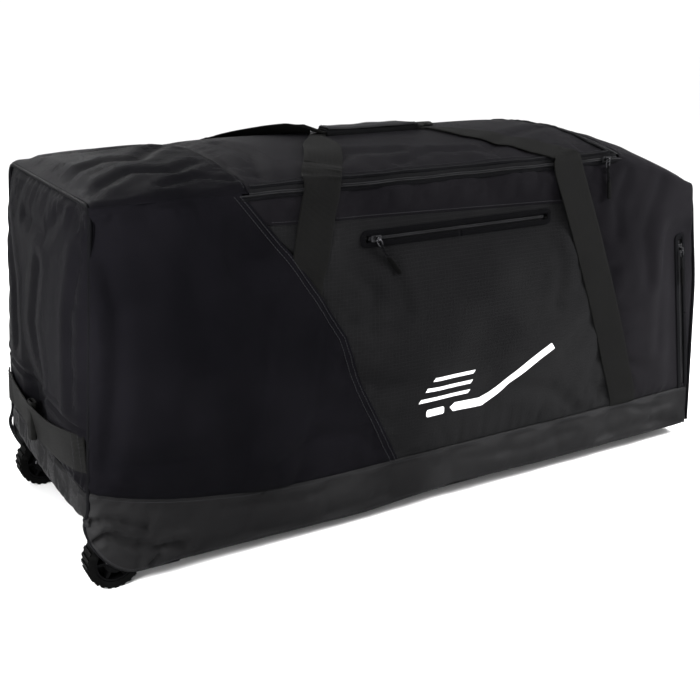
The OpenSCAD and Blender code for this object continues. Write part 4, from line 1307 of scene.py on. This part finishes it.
# ---- Zip pulls: pin, cord and ribbed moulded end ----
def pull(name, origin, tail, body, node):
    tail, out = unit(np.array(tail, float)), np.array([0, -1.0, 0])
    side = np.cross(out, tail)

    def at(x, y, z):
        flat = origin + tail * x + side * y
        above = float(front_out(flat[0], flat[2])) + 0.0034 + flat[1] + HALF
        return flat + out * (z + max(0.0, above - lift) * min(1.0, x / 0.02))

    lift = 0.0046
    parts = []
    ring = [at(0.0062 + 0.0058 * math.cos(a), 0.0031 * math.sin(a), lift)
        for a in np.linspace(0, 2 * math.pi, 25)]
    parts.append(tube(name, ring, 0.0009, gunmetal))
    for sign in (-1, 1):
        x = np.linspace(0.0108, 0.033, 30)
        twist = x * 520 + (0 if sign > 0 else math.pi)
        strand = [at(px, 0.0012 * math.sin(t), lift + 0.0012 * math.cos(t))
            for px, t in zip(x, twist)]
        parts.append(tube(name + "_cord", strand, 0.0012, tape_cloth))
    loop = [at(0.0115 + 0.0016 * math.cos(a), 0.0006, lift + 0.0024 * math.sin(a))
        for a in np.linspace(0.4, 2 * math.pi - 0.4, 16)]
    parts.append(tube(name + "_loop", loop, 0.0011, tape_cloth))
    x = np.linspace(0.029, 0.0575, 58)
    ribs = 0.0007 * (np.sin((x - 0.034) * 2 * math.pi / 0.0032) > 0) * (x > 0.036) * (x < 0.052)
    body_w = 0.0038 + 0.003 * smooth((x - 0.029) / 0.006) + 0.0006 * (x - 0.029) / 0.03
    taper = np.sqrt(np.clip(1 - ((x - 0.0545) / 0.0032).clip(0) ** 2, 0.05, 1))
    line = np.array([at(px, 0, lift) for px in x])
    parts.append(sweep(name + "_end", line, np.tile(side, (58, 1)), np.tile(out, (58, 1)),
        (body_w - ribs) * taper, (0.0034 - 0.6 * ribs) * taper, rubber, shape=3, columns=5))
    return piece(join(name, parts), [node], body)


ZIP_DROP = unit(np.array([END_ZIP[0][0] - END_ZIP[1][0], 0, END_ZIP[0][1] - END_ZIP[1][1]]))
end_rest = np.array([END_ZIP[1][0], -HALF, END_ZIP[1][1]]) + ZIP_DROP * 0.05 * 0.24424
tail = math.radians(-58)
pull("pocket_cord_pull", np.array([POCKET_ZIP[0][0] + 0.01, -HALF, POCKET_ZIP[0][1]]),
    (math.cos(tail), 0, math.sin(tail)), "pocket_pull", "pocket_zip_pull")
pull("end_cord_pull", end_rest, ZIP_DROP, "end_pull", "end_zip_pull")
pull("lid_cord_pull", np.array([LID_END - 0.022, -HALF - 0.0014, ZIP_Z]), (0, 0, -1), "lid_pull",
    "lid_zip_pull")


# ---- Inside: lining and divider ----
def lining_bottom(x):
    return BASE + 0.0045 + np.maximum(0, RAMP_X - x) * RAMP


lining = Panel(on_front, lambda v: wheel_x(v) + 0.004, lambda v: plain_x(v) - 0.004, lining_bottom,
    lambda u: np.minimum(0.469, edge_height(u) - 0.005),
    lambda u, v: -0.0086 + 0.0006 * np.sin(u * 31 + np.sin(v * 23)) * np.sin(v * 29),
    NO_ROLLS)
cut(lining, "front_lining_cloth", lining_cloth, "front_lining", "lining", 0.012, 0.001)
DIVIDER_LOW, DIVIDER_HIGH = low("end_pocket_divider"), high("end_pocket_divider")


def on_divider(u, v, n):
    return np.stack([DIVIDER_LOW[0] + 0.0005 + n, u, v], -1)


divider = Panel(on_divider, DIVIDER_LOW[1], DIVIDER_HIGH[1], DIVIDER_LOW[2], DIVIDER_HIGH[2],
    lambda u, v: 0.0006 * np.sin(u * 37 + 2 * np.sin(v * 19)) * np.sin(v * 23), NO_ROLLS)
cut(divider, "divider_cloth", lining_cloth, "end_pocket_divider", "lining", 0.012, 0.001)

for body, sewn in threads.items():
    centres, runs, outs = (np.concatenate(a) for a in zip(*sewn))
    made = capsules("stitching_" + body, centres, runs, outs, STITCH_LENGTH, 0.00045, thread, 0.7)
    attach(made, body)

# ---- Rigid nodes keep their frame shape, with eased edges and finished materials ----
finishes = {
    "base_board": board_plastic, "feet": rubber, "housing_rivets": steel,
    "pocket_zip_slider": gunmetal, "end_zip_slider": gunmetal, "lid_zip_slider": gunmetal,
}
for side in ("front", "rear"):
    finishes.update({
        side + "_wheel_housing": plastic, side + "_axle": steel, side + "_axle_nut": steel,
        side + "_tyre": rubber, side + "_rim": plastic, side + "_bearings": steel,
    })
for name, material in finishes.items():
    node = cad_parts[name]
    node.data.materials.clear()
    node.data.materials.append(material)
    weld = node.modifiers.new("weld", "WELD")
    weld.merge_threshold = 0.00002
    bevel = node.modifiers.new("eased_edges", "BEVEL")
    bevel.width = 0.0005 if "board" not in name else 0.001
    bevel.segments = 2
    bevel.limit_method = "ANGLE"
    bevel.angle_limit = math.radians(40)

# ---- Floor and light ----
paper = Shader("paper", Roughness=0.9, Specular_IOR_Level=0.2)
tint = paper.noise(paper.place["Object"], 0.6, 2.0)
paper.finish(paper.mix(tint, (0.9, 0.9, 0.9), (0.93, 0.93, 0.93)))
mesh = bpy.data.meshes.new("floor")
mesh.from_pydata([(-9, -9, 0), (9, -9, 0), (9, 9, 0), (-9, 9, 0)], [], [(0, 1, 2, 3)])
mesh.materials.append(paper.material)
floor = bpy.data.objects.new("floor", mesh)
scene.collection.objects.link(floor)

world = scene.world or bpy.data.worlds.new("studio")
scene.world = world
world.use_nodes = True
world.node_tree.nodes["Background"].inputs[0].default_value = (1, 1, 1, 1)
world.node_tree.nodes["Background"].inputs[1].default_value = 1.12


def softbox(name, place, aim, size, watts):
    light = bpy.data.lights.new(name, "AREA")
    light.size = size
    light.energy = watts
    lamp = bpy.data.objects.new(name, light)
    lamp.location = place
    lamp.rotation_euler = (Vector(aim) - Vector(place)).to_track_quat("-Z", "Y").to_euler()
    scene.collection.objects.link(lamp)


softbox("left", (-0.98, -0.5, 0.5), (-0.45, -0.15, 0.27), 0.3, 13)
softbox("right", (1.1, -0.6, 0.8), (0.35, -0.15, 0.3), 0.35, 34)
softbox("back", (-0.4, 2.3, 1.5), (0, 0.1, 0.25), 1.6, 60)
softbox("over", (0.1, -0.5, 1.6), (0, 0, 0.35), 0.8, 9)
